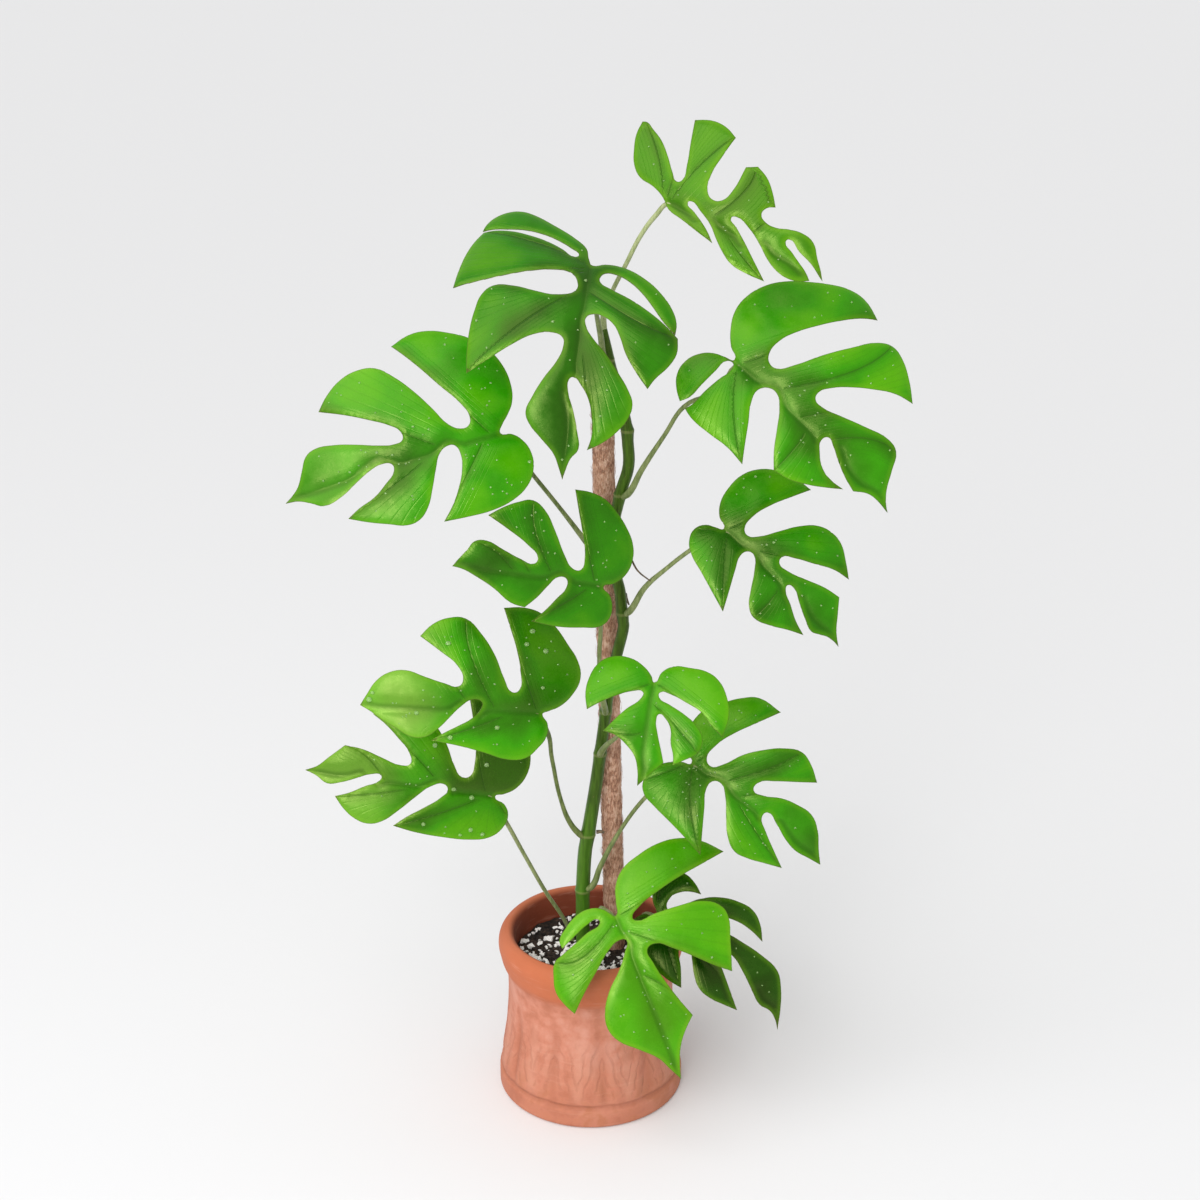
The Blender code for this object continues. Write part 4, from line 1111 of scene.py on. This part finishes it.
def clayFinish():
    look = potLook
    finish = Finish("bakedClay", Roughness=0.78)
    x, y, z = finish.split(finish.place())
    angle = y.maths("ARCTAN2", x)
    reach = (x * x + y * y).maths("SQRT")
    cloud = finish.noise(24, 4)
    mottle = finish.noise(95, 4)
    wipe = finish.streaks((40, 40, 320))
    shade = finish.ease(cloud * 0.6 + mottle * 0.4, 0.34, 0.66)
    colour = finish.ramp(shade, *zip((0.0, 0.5, 1.0), look["clay"]))
    rimShare = finish.ease(z, 0.102, 0.111)
    lowShare = finish.ease(z, 0.075, 0.012) * finish.ease(cloud * 0.5 + mottle * 0.5, 0.42, 0.62)
    # painted shade on the inside wall below the rim
    inside = finish.ease(reach, 0.0655, 0.0625) * finish.ease(z, 0.139, 0.134)
    # pressed ribs that fan out from each fold, and painted shade in the groove above the foot
    fold = (angle * (look["folds"] / math.tau)).maths("PINGPONG", 0.5)
    ribs = (fold * 5.5 - z * 34 + finish.noise(60, 2) * 1.4).maths("PINGPONG", 0.5) * 2
    window = finish.ease(z, 0.018, 0.03) * finish.ease(z, 0.08, 0.055) * finish.ease(mottle, 0.38, 0.55)
    press = finish.ease(ribs, 0.5, 0.95) * window
    shadedGroove = finish.ease((z - 0.0175).maths("ABSOLUTE"), 0.0034, 0.0002)
    shadedGroove = shadedGroove * finish.ease(mottle, 0.3, 0.55, 0.45, 1)
    wall = finish.ease(z, 0.014, 0.03) * finish.ease(z, 0.094, 0.06)
    layers = (
        (lowShare * 0.7, "lowWall"),
        (rimShare * 0.85, "rimColour"),
        (inside * 0.9, "inside"),
        (finish.ease(wipe, 0.55, 0.75) * 0.2, "wiped"),
        # painted shade in the fold hollows, painted highlight on the fold crests
        (finish.ease(fold, 0.33, 0.5) * wall * 0.42, "hollowShade"),
        (finish.ease(fold, 0.2, 0.0) * wall * 0.3, "crestHighlight"),
        (press * 0.24, "pressed"),
        (shadedGroove * 0.4, "shadedGroove"),
    )
    for share, key in layers:
        colour = finish.blend(share, colour, look[key])
    finish.put("Base Color", colour)
    finish.put("Roughness", finish.ease(mottle, 0.3, 0.7, 0.68, 0.86))
    relief = finish.noise(900, 3) * 0.10 + mottle * 0.4 + wipe * 0.12 - press * 0.34 - shadedGroove * 0.6
    finish.bump(relief, 0.65, 0.0016)
    return finish


buildPot(clayFinish())
print("pot done")


# soil and white perlite

soilLook = {
    "top": 115.0,
    "crown": 1.5,
    "rough": 2.6,
    "side": [(0, 12.5), (54.5, 12.5), (57.8, 21), (58.9, 60), (59.4, 112)],
    "reach": 58.0,
    "colours": ((0.006, 0.004, 0.003), (0.022, 0.013, 0.008), (0.075, 0.042, 0.026)),
    "white": ((0.80, 0.75, 0.71), (0.97, 0.96, 0.94)),
    "grains": {
        "soilCrumbs": {"count": 520, "size": (0.9, 2.8), "seed": 3, "flat": 0.7},
        "perliteGrains": {"count": 380, "size": (1.3, 3.7), "seed": 11, "flat": 0.8},
    },
}


def soilHeight(x, y):
    # the top of the soil in mm at a place in mm
    reach = math.hypot(x, y)
    lumps = noise.fractal(Vector((x / 9, y / 9, 3)), 1, 2, 3)
    crown = soilLook["crown"] * (1 - ease(reach, 20, 58))
    return soilLook["top"] + crown + soilLook["rough"] * (lumps - 0.15) * 0.7


def soilFinish():
    finish = Finish("pottingMix", Roughness=0.95)
    crumbs = finish.noise(420, 5, 0.7)
    shade = finish.ease(crumbs * 0.7 + finish.noise(90, 3) * 0.3, 0.34, 0.66)
    finish.put("Base Color", finish.ramp(shade, *zip((0.0, 0.5, 1.0), soilLook["colours"])))
    finish.bump(crumbs, 1.0, 0.002)
    return finish


def perliteFinish():
    finish = Finish("perlite", Roughness=0.9)
    return finish.grain(finish.noise(900, 3), *soilLook["white"], 0.7, 0.0008)


def scatter(name, grains, finish):
    # angular grains in loose clumps: a place is drawn again, up to twice, where the noise says bare
    chance = random.Random(grains["seed"])
    shape = bmesh.new()
    for number in range(grains["count"]):
        size = chance.uniform(*grains["size"]) * (0.7 if chance.random() < 0.4 else 1)
        for attempt in range(3):
            reach = min(soilLook["reach"] * math.sqrt(chance.random()), soilLook["reach"] + 0.5 - size)
            angle = chance.uniform(0, math.tau)
            x, y = reach * math.cos(angle), reach * math.sin(angle)
            if noise.noise(Vector((x / 6, y / 6, grains["seed"]))) > 0:
                break
        made = bmesh.ops.create_icosphere(shape, subdivisions=1, radius=size * mm)["verts"]
        for vert in made:
            vert.co *= chance.uniform(0.4, 1.25)
        flat = (1.15, chance.uniform(0.5, 0.95), grains["flat"] * chance.uniform(0.6, 1.1))
        bmesh.ops.scale(shape, vec=flat, verts=made)
        aim = Vector((chance.uniform(-1, 1), chance.uniform(-1, 1), chance.uniform(0.6, 2)))
        bmesh.ops.transform(shape, matrix=aim.to_track_quat("Z", "Y").to_matrix().to_4x4(), verts=made)
        bmesh.ops.translate(shape, vec=Vector((x, y, soilHeight(x, y) + size * 0.3)) * mm, verts=made)
    piece = pieceFrom(name, shape, finish)
    piece.data.shade_flat()
    enrol(piece, "soil")


def buildSoil():
    shape = bmesh.new()
    verts = [shape.verts.new((r * mm, 0, z * mm)) for r, z in soilLook["side"]]
    for one, two in zip(verts, verts[1:]):
        shape.edges.new((one, two))
    top = shape.verts.new((0, 0, soilLook["top"] * mm))
    lid = shape.edges.new((verts[-1], top))
    bmesh.ops.subdivide_edges(shape, edges=[lid], cuts=44)
    spinRound(shape, 150)
    for vert in shape.verts:
        if vert.co.z > 0.1:
            vert.co.z = soilHeight(vert.co.x / mm, vert.co.y / mm) * mm
    finish = soilFinish()
    enrol(pieceFrom("pottingSoil", shape, finish), "soil", "soil")
    scatter("soilCrumbs", soilLook["grains"]["soilCrumbs"], finish)
    scatter("perliteGrains", soilLook["grains"]["perliteGrains"], perliteFinish())


buildSoil()
print("soil done")


# floor, lights and camera

stageLook = {
    "floor": (0.795, 0.795, 0.80, 1),
    "floorSize": 16,
    "world": 0.66,
    "sun": {"energy": 1.45, "angle": 60, "from": (-0.55, -0.75, 1.15)},
    "softboxes": {
        "frontSoftbox": {
            "place": (-0.42, -1.55, 1.05), "target": (-0.05, 0, 0.45), "size": (0.5, 0.9), "power": 11,
        },
        "sideSoftbox": {"place": (-1.7, -0.6, 0.9), "target": (0, 0, 0.5), "size": (0.7, 1.3), "power": 2},
    },
    "lens": 60,
    "film": 36,
    "cameraAt": (0.0075, -1.375, 0.96),
    "cameraTilt": 68.4,
}


def buildFloor():
    shape = bmesh.new()
    bmesh.ops.create_grid(shape, x_segments=4, y_segments=4, size=stageLook["floorSize"])
    pieceFrom("floor", shape, Finish("paleFloor", Base_Color=stageLook["floor"], Roughness=0.9))


def buildWorld():
    world = bpy.data.worlds.new("studio")
    bpy.context.scene.world = world
    world.use_nodes = True
    sky = world.node_tree.nodes["Background"].inputs
    sky["Color"].default_value = (1, 1, 1, 1)
    sky["Strength"].default_value = stageLook["world"]


def softLight(name, place, target, size, power):
    light = bpy.data.lights.new(name, "AREA")
    light.shape = "RECTANGLE"
    light.size, light.size_y = size
    light.energy = power
    lamp = addObject(name, light)
    lamp.location = place
    lamp.rotation_euler = (Vector(target) - Vector(place)).to_track_quat("-Z", "Y").to_euler()


def softSun(sun):
    # a very wide sun lights the whole floor evenly and leaves a soft shadow
    light = bpy.data.lights.new("studioSun", "SUN")
    light.energy = sun["energy"]
    light.angle = math.radians(sun["angle"])
    addObject("studioSun", light).rotation_euler = Vector(sun["from"]).to_track_quat("Z", "Y").to_euler()


def buildCamera():
    data = bpy.data.cameras.new("camera")
    data.lens = stageLook["lens"]
    data.sensor_width = stageLook["film"]
    camera = addObject("camera", data)
    camera.location = stageLook["cameraAt"]
    camera.rotation_euler = (math.radians(stageLook["cameraTilt"]), 0, 0)
    bpy.context.scene.camera = camera
    bpy.context.scene.view_settings.view_transform = "Standard"


buildFloor()
buildWorld()
softSun(stageLook["sun"])
for boxName, softbox in stageLook["softboxes"].items():
    softLight(boxName, **softbox)
buildCamera()
print("stage done")
